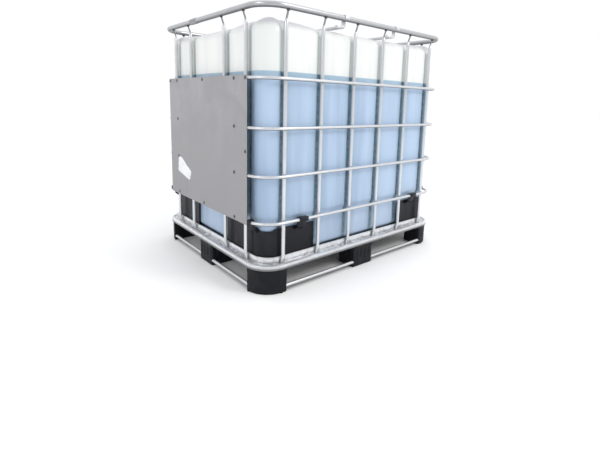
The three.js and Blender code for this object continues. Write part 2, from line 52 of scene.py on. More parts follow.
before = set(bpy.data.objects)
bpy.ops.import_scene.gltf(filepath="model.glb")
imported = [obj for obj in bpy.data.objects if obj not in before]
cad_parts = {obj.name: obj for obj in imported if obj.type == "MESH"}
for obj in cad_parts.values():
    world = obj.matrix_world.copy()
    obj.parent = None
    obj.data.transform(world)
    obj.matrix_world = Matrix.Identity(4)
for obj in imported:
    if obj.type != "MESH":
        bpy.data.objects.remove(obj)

import math

import bpy
import numpy as np
from bpy.props import FloatProperty, FloatVectorProperty, IntProperty, PointerProperty
from mathutils import Matrix, Vector

CAD_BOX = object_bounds()
LENGTH = CAD_BOX[1].x - CAD_BOX[0].x
WIDTH = CAD_BOX[1].y - CAD_BOX[0].y
MM = 0.001
TAU = 2 * math.pi
UP = np.array([0.0, 0.0, 1.0])

NECK_SHADOW = 1.096             # height where the uprights' necks darken
LIP_SHADOW = (0.110, 0.1225)    # heights between which the deck's lip darkens downwards
RIB_COUNT, RIB_HEIGHT, SEAT_HEIGHT = 190, 1.7 * MM, 0.8 * MM
FOOT_EDGE, FLUTE_DEPTH, FOOT_TAPER = 5 * MM, 2.4 * MM, 1.5 * MM
NECK_RADIUS, BORE_RADIUS, THREAD_PITCH, THREAD_DEPTH = 79 * MM, 73 * MM, 5 * MM, 1.7 * MM
SHOULDER_RISE, SHOULDER_RUN, WAIST = 38 * MM, 46 * MM, 13 * MM
GUARD_OUT, GUARD_THICK, GUARD_TOP, GUARD_DIP = -44.5 * MM, 3.2 * MM, 268 * MM, 9 * MM
SIDE_HOOK_PLACE, SIDE_HOOK_WIDTH, CORNER_HOOK_WIDTH = 383 * MM, 46 * MM, 20 * MM


# ---------------------------------------------------------------- settings

def size(name, description, default):
    """A length that a user may change, in metres."""
    return FloatProperty(name=name, description=description, default=default, unit="LENGTH", precision=4)


def colour(name, description, default):
    """A linear colour that a user may change."""
    return FloatVectorProperty(name=name, description=description, default=default, size=3,
                               subtype="COLOR", min=0, max=1)


class TubeSizes(bpy.types.PropertyGroup):
    corner: size("Corner", "Radius of the container's outline at its corners", 0.116)
    post: size("Post radius", "Outer radius of the upright tubes", 0.008)
    hoop: size("Hoop radius", "Outer radius of the level hoops", 0.007)
    rim: size("Rim radius", "Outer radius of the top rim tube", 0.012)
    runner: size("Runner radius", "Outer radius of the ground runner", 0.008)
    neck: size("Neck length", "Length of the flattened top of each upright", 0.030)
    sides: IntProperty(name="Tube sides", description="Faces round each tube", default=16, min=8)


class BottleSizes(bpy.types.PropertyGroup):
    wall_out: size("Wall offset", "How far the wall stands from the outline", -0.041)
    groove: size("Groove depth", "Depth of the groove behind each upright", 0.012)
    groove_width: size("Groove width", "Half width of each groove", 0.0105)
    belly: size("Belly", "How far the wall swells between uprights", 0.007)
    belly_width: size("Belly width", "Distance over which the wall swells", 0.070)
    liquid: size("Liquid level", "Height of the liquid line", 0.904)
    shoulder: size("Shoulder height", "Height where the wall starts to round over", 1.056)
    arch: size("Arch", "How much lower the shoulder is at each groove", 0.004)
    corner_lift: size("Corner lift", "How much higher the shoulder is at the four corners", 0.017)


class Finishes(bpy.types.PropertyGroup):
    empty: colour("Empty wall", "Milky plastic above the liquid", (0.83, 0.845, 0.825))
    filled: colour("Filled wall", "Milky plastic with liquid behind it", (0.43, 0.555, 0.73))
    # The darker streaks stand for uneven wall thickness and partly for painted reflections.
    filled_deep: colour("Filled wall, deep", "Darker streaks of the filled wall", (0.335, 0.445, 0.61))
    # painted shade in the grooves behind the uprights, below and above the liquid line
    groove_shade_filled: colour("Groove, filled", "Grooves below the liquid line", (0.035, 0.085, 0.125))
    groove_shade_empty: colour("Groove, empty", "Grooves above the liquid line", (0.42, 0.48, 0.47))
    steel: colour("Galvanised steel", "Tubes and pressed deck", (0.67, 0.68, 0.70))
    plate: colour("Zinc plate", "Label plate", (0.385, 0.38, 0.395))
    # The slight blue in the black plastic is a painted reflection.
    black: colour("Black plastic", "Guards, feet and lid", (0.0068, 0.0072, 0.0105))
    red: colour("Red plastic", "Valve lever, dust cap and vent plug", (0.42, 0.022, 0.016))
    white: colour("Valve plastic", "Valve body", (0.72, 0.74, 0.73))


class ContainerSettings(bpy.types.PropertyGroup):
    tubes: PointerProperty(type=TubeSizes)
    bottle: PointerProperty(type=BottleSizes)
    finishes: PointerProperty(type=Finishes)


def settings():
    return bpy.context.scene.bulk_container


# ---------------------------------------------------------------- surfaces

def shell(rows, closed=False):
    """A closed surface as (points, faces), from a grid whose rows are closed rings of points.

    Neighbouring rows are joined by four-sided faces. With `closed`, the last row joins the first;
    otherwise one flat face closes each end. Faces are turned so that the enclosed volume is positive.
    """
    rows = np.asarray(rows, float)
    count, ring = rows.shape[:2]
    points = rows.reshape(-1, 3)
    i = np.arange(count if closed else count - 1)[:, None]
    j = np.arange(ring)[None, :]
    k = (j + 1) % ring
    here, there = i * ring, (i + 1) % count * ring
    quads = np.stack([here + j, here + k, there + k, there + j], -1).reshape(-1, 4)
    ends = [] if closed else [np.arange(ring)[::-1], np.arange(ring) + (count - 1) * ring]
    a, b, c, d = (points[quads[:, n]] - points[0] for n in range(4))
    volume = (np.cross(a, b) * c).sum() + (np.cross(a, c) * d).sum()
    for end in ends:
        p = points[end] - points[0]
        volume += (np.cross(p[0], p[1:-1]) * p[2:]).sum()
    if volume < 0:
        quads = quads[:, ::-1]
        ends = [end[::-1] for end in ends]
    return points, quads, ends


def piece(name, shells, material, body="root", replaces=(), crease=38, values=None):
    """One finished object from closed surfaces. `values` holds per-point numbers by attribute name."""
    points = np.concatenate([s[0] for s in shells])
    loops, totals, first = [], [], 0
    for own, quads, ends in shells:
        loops += [quads.ravel() + first, *(end + first for end in ends)]
        totals += [np.full(len(quads), 4), np.array([len(end) for end in ends], int)]
        first += len(own)
    loops, totals = np.concatenate(loops), np.concatenate(totals)
    mesh = bpy.data.meshes.new(name)
    mesh.vertices.add(len(points))
    mesh.vertices.foreach_set("co", points.astype(np.float32).ravel())
    mesh.loops.add(len(loops))
    mesh.loops.foreach_set("vertex_index", loops.astype(np.int32))
    mesh.polygons.add(len(totals))
    mesh.polygons.foreach_set("loop_start", np.concatenate([[0], totals.cumsum()[:-1]]).astype(np.int32))
    mesh.polygons.foreach_set("loop_total", totals.astype(np.int32))
    mesh.update(calc_edges=True)
    for label, numbers in (values or {}).items():
        attribute = mesh.attributes.new(label, "FLOAT", "POINT")
        attribute.data.foreach_set("value", np.asarray(numbers, np.float32).ravel())
    mesh.shade_smooth()
    mesh.set_sharp_from_angle(angle=math.radians(crease))
    mesh.materials.append(material)
    thing = bpy.data.objects.new(name, mesh)
    bpy.context.scene.collection.objects.link(thing)
    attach(thing, body)
    if replaces:
        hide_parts(*replaces)
    return thing


def soften(corners, radius, steps=3):
    """Rounds each corner of a closed polygon.

    A corner becomes the quadratic curve that starts and ends at `radius` from it along its two edges.
    """
    here = np.asarray(corners, float)
    radius = np.broadcast_to(np.asarray(radius, float), (len(here),))[:, None]

    def cut(edge):
        length = np.linalg.norm(edge, axis=1, keepdims=True)
        return here + edge * np.minimum(radius / length, 0.45)

    start = cut(np.roll(here, 1, 0) - here)[:, None]
    end = cut(np.roll(here, -1, 0) - here)[:, None]
    t = np.linspace(0, 1, steps + 1)[None, :, None]
    curve = (1 - t) ** 2 * start + 2 * t * (1 - t) * here[:, None] + t * t * end
    return curve.reshape(-1, 2)


def resample(polygon, count):
    """`count` points evenly spaced by length along a closed polygon."""
    closed = np.vstack([polygon, polygon[:1]])
    run = np.concatenate([[0], np.linalg.norm(np.diff(closed, axis=0), axis=1).cumsum()])
    at = np.arange(count) / count * run[-1]
    return np.stack([np.interp(at, run, closed[:, n]) for n in range(2)], -1)


def edge_normals(polygon):
    """Unit normals of a closed polygon's points, square to the chord between their neighbours."""
    along = np.roll(polygon, -1, 0) - np.roll(polygon, 1, 0)
    normal = np.stack([along[:, 1], -along[:, 0]], -1)
    normal /= np.maximum(np.linalg.norm(normal, axis=1, keepdims=True), 1e-12)
    x, y = polygon.T
    area = (x * np.roll(y, -1) - y * np.roll(x, -1)).sum()
    return normal * np.sign(area)


def ellipse(sides, a, b):
    """Points (a cos t, b sin t) round an ellipse. `a` and `b` may be arrays, one pair for each row."""
    t = (np.arange(sides) + 0.5) / sides * TAU
    a, b = np.asarray(a, float)[..., None], np.asarray(b, float)[..., None]
    return np.stack([a * np.cos(t), b * np.sin(t)], -1)


def raised(flat, z=0.0):
    """Flat points, or directions, with a height added."""
    return np.concatenate([flat, np.broadcast_to(z, flat.shape[:-1])[..., None]], -1)


def carry(path, side, up, section):
    """A section carried along a path: each point is path + section[0] * side + section[1] * up."""
    path, side, up = (np.asarray(v, float)[..., None, :] for v in (path, side, up))
    return path + section[..., 0:1] * side + section[..., 1:2] * up


def slab(polygon, origin, u, v, w, depth, bevel=0.6 * MM):
    """A flat shape drawn on axes u and v and raised by `depth` along w, with bevelled edges."""
    polygon = np.asarray(polygon, float)
    normal = edge_normals(polygon)
    u, v, w, origin = (np.asarray(a, float) for a in (u, v, w, origin))
    levels = [(0, bevel), (0.3 * bevel, 0.3 * bevel), (bevel, 0)]
    levels += [(depth - h, inset) for h, inset in reversed(levels)]
    rows = []
    for height, inset in levels:
        p = polygon - normal * inset
        rows.append(origin + p[:, :1] * u + p[:, 1:] * v + height * w)
    return shell(rows)


def turned(profile, centre=(0, 0, 0), axis="Z", segments=64, lobes=None, closed=True):
    """A profile of [radius, height] pairs turned about an axis through `centre`.

    Each point goes to centre + radius * (cos t, sin t) + height along the axis. `lobes` gives how
    much is added to the radius at each profile point and angle. With `closed` the profile's last
    point joins its first; otherwise a flat face closes each end.
    """
    profile = np.asarray(profile, float)
    t = np.arange(segments) / segments * TAU
    radius = np.broadcast_to(profile[:, :1], (len(profile), segments)).copy()
    height = np.broadcast_to(profile[:, 1:], radius.shape)
    if lobes is not None:
        radius += lobes(profile[:, :1], profile[:, 1:], t[None, :])
    a, b = radius * np.cos(t), radius * np.sin(t)
    points = np.stack([a, b, height] if axis == "Z" else [height, a, b], -1)
    return shell(points + np.asarray(centre, float), closed)


def turned_solid(points, radius, centre, axis="Z", segments=64, lobes=None):
    """A solid turned piece: its profile starts and ends on the axis, and its corners are softened."""
    steps, hub = 3, 0.02 * MM
    radii = np.full(len(points), float(radius))
    radii[[0, -1]] = 0
    profile = soften(points, radii, steps)[steps:-steps]
    profile[:, 0] = np.maximum(profile[:, 0], hub)
    return turned(profile, centre, axis, segments, lobes, closed=False)


def pebble(centre, u, v, w, radii, rows=7, sides=10):
    """An ellipsoid: latitude rings of radius cos(lat) along u and v, at height sin(lat) along w."""
    lat = np.linspace(-0.48, 0.48, rows) * math.pi
    t = np.arange(sides) / sides * TAU
    u, v, w = (np.asarray(a, float) * r for a, r in zip((u, v, w), radii))
    ring = np.cos(t)[:, None] * u + np.sin(t)[:, None] * v
    return shell(np.asarray(centre) + np.cos(lat)[:, None, None] * ring + np.sin(lat)[:, None, None] * w)


def smooth(value, low, high):
    """0 below `low`, 1 above `high` and an even S-curve between."""
    t = np.clip((np.asarray(value, float) - low) / (high - low), 0, 1)
    return t * t * (3 - 2 * t)


def bell(distance, width):
    """A bump of height 1 that falls away as exp(-(distance / width) squared)."""
    return np.exp(-((distance / width) ** 2))


# ---------------------------------------------------------------- the outline that every loop follows

def halves():
    """Half length and half width between the corner arcs' centres, and the arcs' radius."""
    corner = settings().tubes.corner
    return LENGTH / 2 - corner, WIDTH / 2 - corner, corner


def girth():
    """Length once round the outline."""
    a, b, corner = halves()
    return 4 * (a + b) + TAU * corner


def outline(s, out):
    """Points and outward normals at distances `s` round the outline, moved outwards by `out`.

    The outline is a rectangle with round corners. The centre of curvature moves along each straight
    while the angle stays, and stays at each corner while the angle turns, so centre and angle are
    both straight-line functions of distance.
    """
    a, b, corner = halves()
    bend = corner * TAU / 4
    knots = np.cumsum([0, 2 * b, bend, 2 * a, bend, 2 * b, bend, 2 * a, bend])
    s = np.asarray(s, float) % knots[-1]
    cx = np.interp(s, knots, [a, a, a, -a, -a, -a, -a, a, a])
    cy = np.interp(s, knots, [-b, b, b, b, b, -b, -b, -b, -b])
    turn = np.interp(s, knots, np.array([0, 0, 1, 1, 2, 2, 3, 3, 4]) * TAU / 4)
    normal = np.stack([np.cos(turn), np.sin(turn)], -1)
    reach = (corner + np.asarray(out, float))[..., None]
    return np.stack([cx, cy], -1) + reach * normal, normal


def distance_round(side, place):
    """How far round the outline a place on a side is. Distance starts at the right of the front."""
    a, b, corner = halves()
    bend = corner * TAU / 4
    return {
        "front": place + b,
        "left": 2 * b + bend + (a - place),
        "rear": 2 * b + 2 * bend + 2 * a + (b - place),
        "right": 4 * b + 3 * bend + 2 * a + (place + a),
    }[side]


def posts():
    """(node name, side, distance round the outline) of every upright."""
    found = []
    for name in sorted(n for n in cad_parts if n.startswith("post_")):
        low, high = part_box(name)
        side = name.split("_")[1]
        middle = (low + high) / 2
        found.append((name, side, distance_round(side, middle.y if side in ("front", "rear") else middle.x)))
    return found


def to_nearest_post(s):
    """Distance round the outline from each `s` to the nearest upright."""
    around = girth()
    gap = np.abs(np.asarray(s)[:, None] - np.array([p[2] for p in posts()])[None, :])
    return np.minimum(gap, around - gap).min(1)


def stations(coarse, offsets=(), extra=()):
    """Distances round the outline: an even spread, and more at offsets from every upright."""
    around = girth()
    near = [p[2] + o for p in posts() for o in offsets]
    both = np.concatenate([np.arange(coarse) / coarse * around, near, extra]) % around
    both = np.unique(np.round(both, 5))
    return both[np.concatenate([[True], np.diff(both) > 0.0008])]


def loop(s, out, height, section):
    """A section of [out, up] pairs carried round the outline as a closed loop."""
    place, normal = outline(s, out)
    return shell(carry(raised(place, height), raised(normal), UP, section), closed=True)


def stand_at(s, out):
    """One place by the outline, at height 0, with its outward and its sideways direction."""
    place, normal = outline(np.array([s]), out)
    outward = raised(normal)[0]
    return raised(place)[0], outward, np.array([-outward[1], outward[0], 0.0])


# ---------------------------------------------------------------- shader maths

class Wire:
    """A socket that Python arithmetic turns into Math nodes."""

    def __init__(self, look, socket):
        self.look = look
        self.socket = socket

    def math(self, operation, *values):
        return self.look.node("ShaderNodeMath", {"operation": operation}, dict(enumerate(values)))

    def __add__(self, other):
        return self.math("ADD", self, other)

    def __sub__(self, other):
        return self.math("SUBTRACT", self, other)

    def __rsub__(self, other):
        return self.math("SUBTRACT", other, self)

    def __mul__(self, other):
        return self.math("MULTIPLY", self, other)

    def __pow__(self, other):
        return self.math("POWER", self, other)

    __radd__ = __add__
    __rmul__ = __mul__

    def between(self, low, high):
        """0 below `low`, 1 above `high`, smooth between."""
        return self.look.node("ShaderNodeMapRange", {"interpolation_type": "SMOOTHSTEP"},
                              {"Value": self, "From Min": low, "From Max": high})


class Look:
    """A material and the nodes that feed its one Principled shader."""

    def __init__(self, name, **fixed):
        self.material = bpy.data.materials.new(name)
        self.material.use_nodes = True
        self.tree = self.material.node_tree
        self.shader = self.tree.nodes["Principled BSDF"]
        for label, value in fixed.items():
            self.shader.inputs[label.replace("_", " ")].default_value = value

    def node(self, kind, choices=None, values=None, output=0):
        """Adds a node: its choices are set first, then its sockets get values or links."""
        made = self.tree.nodes.new(kind)
        for label, value in (choices or {}).items():
            setattr(made, label, value)
        for label, value in (values or {}).items():
            self.join(made.inputs[label], value)
        return Wire(self, made.outputs[output])

    def join(self, socket, value):
        if isinstance(value, Wire):
            self.tree.links.new(value.socket, socket)
        elif hasattr(socket.default_value, "__len__") and len(socket.default_value) == 4:
            socket.default_value = (*value[:3], 1)
        else:
            socket.default_value = value

    def set(self, **inputs):
        for label, value in inputs.items():
            self.join(self.shader.inputs[label.replace("_", " ")], value)
        return self.material

    def place(self, stretch=(1, 1, 1)):
        """Object coordinates in metres, with each axis scaled by `stretch`."""
        where = self.node("ShaderNodeTexCoord", output="Object")
        return self.node("ShaderNodeMapping", {}, {"Vector": where, "Scale": stretch})

    def axis(self, letter):
        where = self.node("ShaderNodeTexCoord", output="Object")
        return self.node("ShaderNodeSeparateXYZ", {}, {"Vector": where}, output=letter)

    def noise(self, scale, detail=3, stretch=(1, 1, 1), distortion=0):
        return self.node("ShaderNodeTexNoise", {}, {
            "Vector": self.place(stretch), "Scale": scale, "Detail": detail, "Distortion": distortion})

    def cells(self, scale, stretch=(1, 1, 1)):
        """A random number for each cell of a cell pattern."""
        tint = self.node("ShaderNodeTexVoronoi", {}, {"Vector": self.place(stretch), "Scale": scale},
                         output="Color")
        return self.node("ShaderNodeSeparateColor", {}, {"Color": tint}, output="Red")

    def attribute(self, label):
        return self.node("ShaderNodeAttribute", {"attribute_name": label}, output="Fac")

    def mix(self, mask, first, second):
        """The first colour where the mask is 0 and the second where it is 1."""
        return self.node("ShaderNodeMix", {"data_type": "RGBA"}, {0: mask, 6: first, 7: second}, output=2)

    def bump(self, height, distance, strength=1.0):
        return self.node("ShaderNodeBump", {}, {"Height": height, "Distance": distance, "Strength": strength})


def shade(tint, factor):
    """A colour made lighter or darker."""
    return tuple(min(1.0, c * factor) for c in tint)


def galvanised(name, tint, spangle=160, run=(1, 1, 1), dull=0.08, neck=False):
    """Zinc-coated steel: crystal spangle, patches of duller oxide and soft runs along `run`.

    Painted shade darkens the lower side of level tubes ("under"). With `neck` set the metal also darkens
    above the height where the uprights are pinched.
    """
    look = Look(name, Metallic=0.80)
    flake = look.cells(spangle)
    cloud = look.noise(9, 4)
    runs = look.noise(40, 3, run)
    oxide = cloud.between(0.52, 0.74)
    base = look.mix(flake * 0.5 + runs * 0.5, shade(tint, 0.93), shade(tint, 1.06))
    base = look.mix(oxide * 0.30, base, shade(tint, 0.78))
    # painted shade: the lower side of level tubes goes toward a dark copy of the steel
    base = look.mix(look.attribute("under") * 0.85, base, shade(tint, 0.22))
    if neck:
        shadow = look.axis("Z").between(NECK_SHADOW, NECK_SHADOW + 10 * MM)
        base = look.mix(shadow * 0.9, base, shade(tint, 0.30))
    rough = flake * 0.05 + oxide * 0.10 + runs * 0.06 + (0.18 + dull)
    return look.set(Base_Color=base, Roughness=rough, Normal=look.bump(runs + flake * 0.2, 0.10 * MM, 0.10))


def pressed_steel(tint):
    """The deck frame: bright zinc, mottled dark with painted shade and grime in its creases, and painted
    shade down the lip.
    """
    look = Look("pressed_steel", Metallic=0.80)
    flake = look.cells(110)
    mottle = look.noise(34, 4, distortion=0.8)
    cloud = look.noise(7, 3)
    fold = look.attribute("fold")
    # painted shade in the creases and on the inner and lower faces, mottled like grime
    crease_shade_and_grime = fold * mottle.between(0.36, 0.62)
    base = look.mix(flake * 0.6 + cloud * 0.4, shade(tint, 0.90), shade(tint, 1.08))
    base = look.mix(mottle.between(0.50, 0.72) * 0.35, base, shade(tint, 0.62))
    base = look.mix(crease_shade_and_grime * 0.80, base, (0.13, 0.13, 0.14))
    # painted shade: the lip darkens towards its lower edge
    lip = 1 - look.axis("Z").between(*LIP_SHADOW)
    base = look.mix(lip * 0.85, base, shade(tint, 0.13))
    rough = mottle * 0.10 + crease_shade_and_grime * 0.20 + 0.26
    return look.set(Base_Color=base, Roughness=rough, Normal=look.bump(flake * 0.3 + mottle, 0.2 * MM, 0.3))


def moulded(name, tint, gloss=0.42, dust=0.25, grain=420, shine=0.45):
    """Moulded plastic: fine grain, cloudy scuffs, pale dust in patches, and a painted bluish sheen on the
    upper part.
    """
    look = Look(name, Specular_IOR_Level=shine)
    fine = look.noise(grain, 2)
    cloud = look.noise(14, 5, distortion=0.6)
    scuff = look.noise(60, 4, (1, 1, 0.2)).between(0.56, 0.80)
    settled = cloud.between(0.45, 0.78) * dust
    base = look.mix(settled * 0.5, tint, (0.10, 0.097, 0.094))
    base = look.mix(scuff * (dust * 0.5), base, (0.07, 0.07, 0.074))
    # painted sheen: the upper part goes toward a pale bluish colour, scaled by the dust setting
    base = look.mix(look.axis("Z").between(0.17, 0.27) * (dust * 0.9) * cloud, base, (0.11, 0.105, 0.14))
    rough = cloud * 0.18 + scuff * 0.12 + (gloss - 0.06)
    return look.set(Base_Color=base, Roughness=rough, Normal=look.bump(fine + scuff * 0.5, 0.18 * MM, 0.4))


def bottle_plastic():
    """Milky blow-moulded plastic: blue below the liquid line and near white above.

    It has painted shade in the grooves ("groove") and a wider, greener painted shade beside them
    ("flank"), with upright streaks that are partly painted reflections, painted shade on the crown,
    and it is greyer just under the liquid line.
    """
    f, b = settings().finishes, settings().bottle
    look = Look("milky_plastic", Coat_Weight=0.22, Coat_Roughness=0.28, Specular_IOR_Level=0.4)
    height = look.axis("Z")
    groove = look.attribute("groove")
    streak = look.noise(26, 3, (1, 1, 0.045), 0.3)
    broad = look.noise(5.5, 2, (1, 1, 0.25))
    ripple = look.noise(30, 1)
    line = height + ripple * (1.5 * MM)
    empty_mask = line.between(b.liquid, b.liquid + 5 * MM)
    wide = look.noise(2.6, 2, (1, 1, 0.35))
    # darker blue streaks and patches: uneven wall thickness, and partly painted reflections of the
    # surroundings
    depth = (streak * 0.3 + broad * 0.25 + wide * 0.45).between(0.38, 0.60)
    filled = look.mix(depth, tuple(f.filled_deep), tuple(f.filled))
    # painted shade beside the grooves: the wall goes a darker, greener blue
    flank_shade = look.attribute("flank_shade")
    filled = look.mix(flank_shade * 0.5, filled, (0.27, 0.42, 0.50))
    meniscus = line.between(b.liquid - 26 * MM, b.liquid - 6 * MM) * 0.6
    filled = look.mix(meniscus, filled, (0.33, 0.48, 0.56))
    foot = 1 - height.between(0.14, 0.34)
    filled = look.mix(foot * 0.35, filled, (0.42, 0.50, 0.62))
    cloud = (broad * 0.5 + streak * 0.5).between(0.4, 0.62)
    empty = look.mix(cloud * 0.5, tuple(f.empty), (0.68, 0.72, 0.71))
    # painted shade: the crown, where the shoulder rounds over, greys toward violet
    crown = height.between(b.shoulder + 14 * MM, b.shoulder + 40 * MM)
    empty = look.mix(crown * 0.85, empty, (0.50, 0.485, 0.54))
    # painted shade in the grooves: dark teal below the liquid line, grey-green above
    deep = groove ** 0.8
    speckle = look.noise(42, 2).between(0.40, 0.60)
    shadow = look.mix(speckle, tuple(f.groove_shade_filled), (0.10, 0.17, 0.23))
    filled = look.mix(deep * 0.96, filled, shadow)
    empty = look.mix(deep * 0.85, empty, tuple(f.groove_shade_empty))
    base = look.mix(empty_mask, filled, empty)
    orange_peel = look.noise(90, 2)
    rough = streak * 0.16 + 0.30
    return look.set(Base_Color=base, Roughness=rough,
                    Normal=look.bump(orange_peel + streak * 2, 0.4 * MM, 0.35))


def zinc_plate():
    """Dull zinc sheet: rolling lines, cloudy tarnish, smears, fine scratches and a darker lower half."""
    tint = tuple(settings().finishes.plate)
    look = Look("zinc_plate", Metallic=0.55)
    rolling = look.noise(300, 2, (1, 1, 0.02))
    tarnish = look.noise(4.5, 5, distortion=1.2)
    smear = look.noise(11, 4, (1, 1.0, 0.22), 0.9).between(0.55, 0.72)
    scratch = look.noise(70, 2, (1, 0.12, 1), 0.4).between(0.66, 0.70)
    base = look.mix(tarnish.between(0.35, 0.70), shade(tint, 0.90), shade(tint, 1.08))
    base = look.mix(smear * 0.35, base, shade(tint, 1.30))
    base = look.mix(scratch * 0.12, base, shade(tint, 1.4))
    base = look.mix(1 - look.axis("Z").between(0.30, 0.95), base, shade(tint, 0.86))
    rough = tarnish * 0.16 + smear * 0.10 + 0.42
    return look.set(Base_Color=base, Roughness=rough,
                    Normal=look.bump(rolling * 0.4 + tarnish, 0.3 * MM, 0.25))


def rubber():
    """Black seal rubber, finely mottled."""
    look = Look("seal_rubber", Specular_IOR_Level=0.3)
    fine = look.noise(700, 2)
    return look.set(Base_Color=look.mix(fine, (0.010, 0.010, 0.011), (0.022, 0.022, 0.023)),
                    Roughness=fine * 0.15 + 0.7, Normal=look.bump(fine, 0.1 * MM, 0.3))


def paper():
    """A weathered blank sticker: off-white, with grubby patches."""
    look = Look("sticker_paper")
    grub = look.noise(45, 4)
    return look.set(Base_Color=look.mix(grub.between(0.5, 0.75), (0.86, 0.87, 0.88), (0.62, 0.63, 0.65)),
                    Roughness=grub * 0.2 + 0.5, Normal=look.bump(grub, 0.3 * MM, 0.3))


MADE = {}


def finish(label):
    """The material with that name, made the first time it is asked for."""
    f = settings().finishes
    makers = {
        "tube": lambda: galvanised("galvanised_tube", tuple(f.steel), 190, (1, 1, 0.25)),
        "post": lambda: galvanised("galvanised_post", tuple(f.steel), 190, (1, 1, 0.25), neck=True),
        # painted shade: the rim is a darker copy of the tube steel, as it looks from below
        "rim": lambda: galvanised("galvanised_rim_shaded", shade(f.steel, 0.74), 190, (1, 1, 0.25), dull=0.10),
        "rivet": lambda: galvanised("rivet_zinc", shade(f.steel, 0.12), 300, dull=0.1),
        "weld": lambda: galvanised("weld_zinc", shade(f.steel, 0.55), 300, dull=0.2),
        "pressed": lambda: pressed_steel(shade(f.steel, 1.15)),
        # painted shade: the tray under the deck is a dark copy of the steel
        "tray": lambda: galvanised("tray_steel_shaded", shade(f.steel, 0.30), 110, dull=0.25),
        "bolt": lambda: galvanised("bolt_zinc", shade(f.steel, 0.45), 300, dull=0.1),
        "plate": zinc_plate,
        "bottle": bottle_plastic,
        "guard": lambda: moulded("black_guard", tuple(f.black), 0.36, 0.16, shine=0.20),
        "foot": lambda: moulded("black_foot", tuple(f.black), 0.48, 0.22, shine=0.20),
        "lid": lambda: moulded("lid_black", tuple(f.black), 0.34, 0.10),
        "red": lambda: moulded("red_plastic", tuple(f.red), 0.34, 0.05),
        "valve": lambda: moulded("valve_white", tuple(f.white), 0.36, 0.06),
        "rubber": rubber,
        "paper": paper,
    }
    if label not in MADE:
        MADE[label] = makers[label]()
    return MADE[label]


# ---------------------------------------------------------------- cage

def hoop_lines():
    """Height and offset from the outline of each hoop, from the frame."""
    radius = settings().tubes.hoop
    lines = []
    for name in sorted(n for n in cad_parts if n.startswith("hoop_")):
        low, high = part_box(name)
        lines.append((name, (low.z + high.z) / 2, high.x - radius - LENGTH / 2))
    return lines


def rim_line():
    """Height of the rim tube's centre and its offset from the outline, from the frame."""
    low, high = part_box("top_rim")
    return (low.z + high.z) / 2, high.x - settings().tubes.rim - LENGTH / 2


def post_line(name, side):
    """Foot, top and offset from the outline of an upright, from the frame."""
    low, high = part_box(name)
    radius = settings().tubes.post
    inner = {"left": low.y - WIDTH / 2, "front": low.x - LENGTH / 2,
             "right": -high.y - WIDTH / 2, "rear": -high.x - LENGTH / 2}[side]
    return low.z, high.z, inner + radius


def post_shell(name, side, s):
    """An upright tube.

    Its ellipse has half thickness a and half width b at each height. Both are the tube's radius along
    the middle. At the neck a and b shrink and the centre leans out to the rim, at the foot the tube
    is pressed flat and wide, and at each hoop its outer side is dented a little.
    """
    tubes = settings().tubes
    foot, top, out = post_line(name, side)
    _, rim_out = rim_line()
    crossings = np.array([height for _, height, _ in hoop_lines()])
    dents = (crossings[:, None] + np.linspace(-16, 16, 9) * MM).ravel()
    neck = top - tubes.neck - 12 * MM
    z = np.unique(np.concatenate([
        np.linspace(foot, foot + 34 * MM, 12), np.linspace(foot + 60 * MM, neck, 26),
        dents, np.linspace(neck, top + 2.5 * MM, 18)]))
    pinch = smooth(z, neck, neck + 13 * MM)
    press = 1 - smooth(z, foot + 5 * MM, foot + 26 * MM)
    dent = bell(np.abs(z[:, None] - crossings).min(1), 8 * MM)
    a = tubes.post * (1 - 0.60 * pinch - 0.55 * press - 0.13 * dent)
    b = tubes.post * (1 - 0.45 * pinch + 0.45 * press + 0.06 * dent)
    lean = (rim_out - out) * smooth(z, neck + 4 * MM, top)
    place, normal = outline(np.full(len(z), s), out + lean - 0.06 * tubes.post * dent)
    along = normal[:, ::-1] * [-1, 1]
    return shell(carry(raised(place, z), raised(normal), raised(along), ellipse(tubes.sides, a, b)))


def underside_shade(sides, shape):
    """How much painted shade each point of a level tube gets: how far it faces down, as a smooth step."""
    t = (np.arange(sides) + 0.5) / sides * TAU
    return {"under": np.tile(smooth(-np.sin(t), 0.15, 0.85), len(shape[0]) // sides)}


def hoop_shell(height, out):
    """A hoop: a round tube pressed a little flatter and taller where it crosses an upright."""
    tubes = settings().tubes
    s = stations(150, np.linspace(-15, 15, 9) * MM)
    dent = bell(to_nearest_post(s), 8 * MM)
    section = ellipse(tubes.sides, tubes.hoop * (1 - 0.12 * dent), tubes.hoop * (1 + 0.08 * dent))
    return loop(s, out, height, section)


def weld_shells():
    """A small bead where each hoop meets each upright: an ellipsoid set between the two tubes."""
    hoop = settings().tubes.hoop
    shells = []
    for _, height, out in hoop_lines():
        for _, _, s in posts():
            place, outward, along = stand_at(s, out - hoop)
            for lift in (-1, 1):
                centre = place + UP * (height + lift * hoop * 0.62)
                shells.append(pebble(centre, along, UP, outward, (6.4 * MM, 3.4 * MM, 3.2 * MM)))
    return shells


def rim_weld_shells():
    """The dark bead where each neck meets the rim."""
    rim_height, rim_out = rim_line()
    level = rim_height - settings().tubes.rim - 1.2 * MM
    shells = []
    for _, _, s in posts():
        place, outward, along = stand_at(s, rim_out + 1.5 * MM)
        shells.append(pebble(place + UP * level, along, outward, UP, (8 * MM, 6.5 * MM, 4.2 * MM)))
    return shells


def rim_shell():
    """The rim tube, pressed a little at each upright."""
    tubes = settings().tubes
    height, out = rim_line()
    s = stations(220, np.linspace(-9, 9, 5) * MM)
    dent = bell(to_nearest_post(s), 7 * MM)
    section = ellipse(tubes.sides + 4, tubes.rim * np.ones(len(s)), tubes.rim * (1 - 0.05 * dent))
    return loop(s, out, height, section)


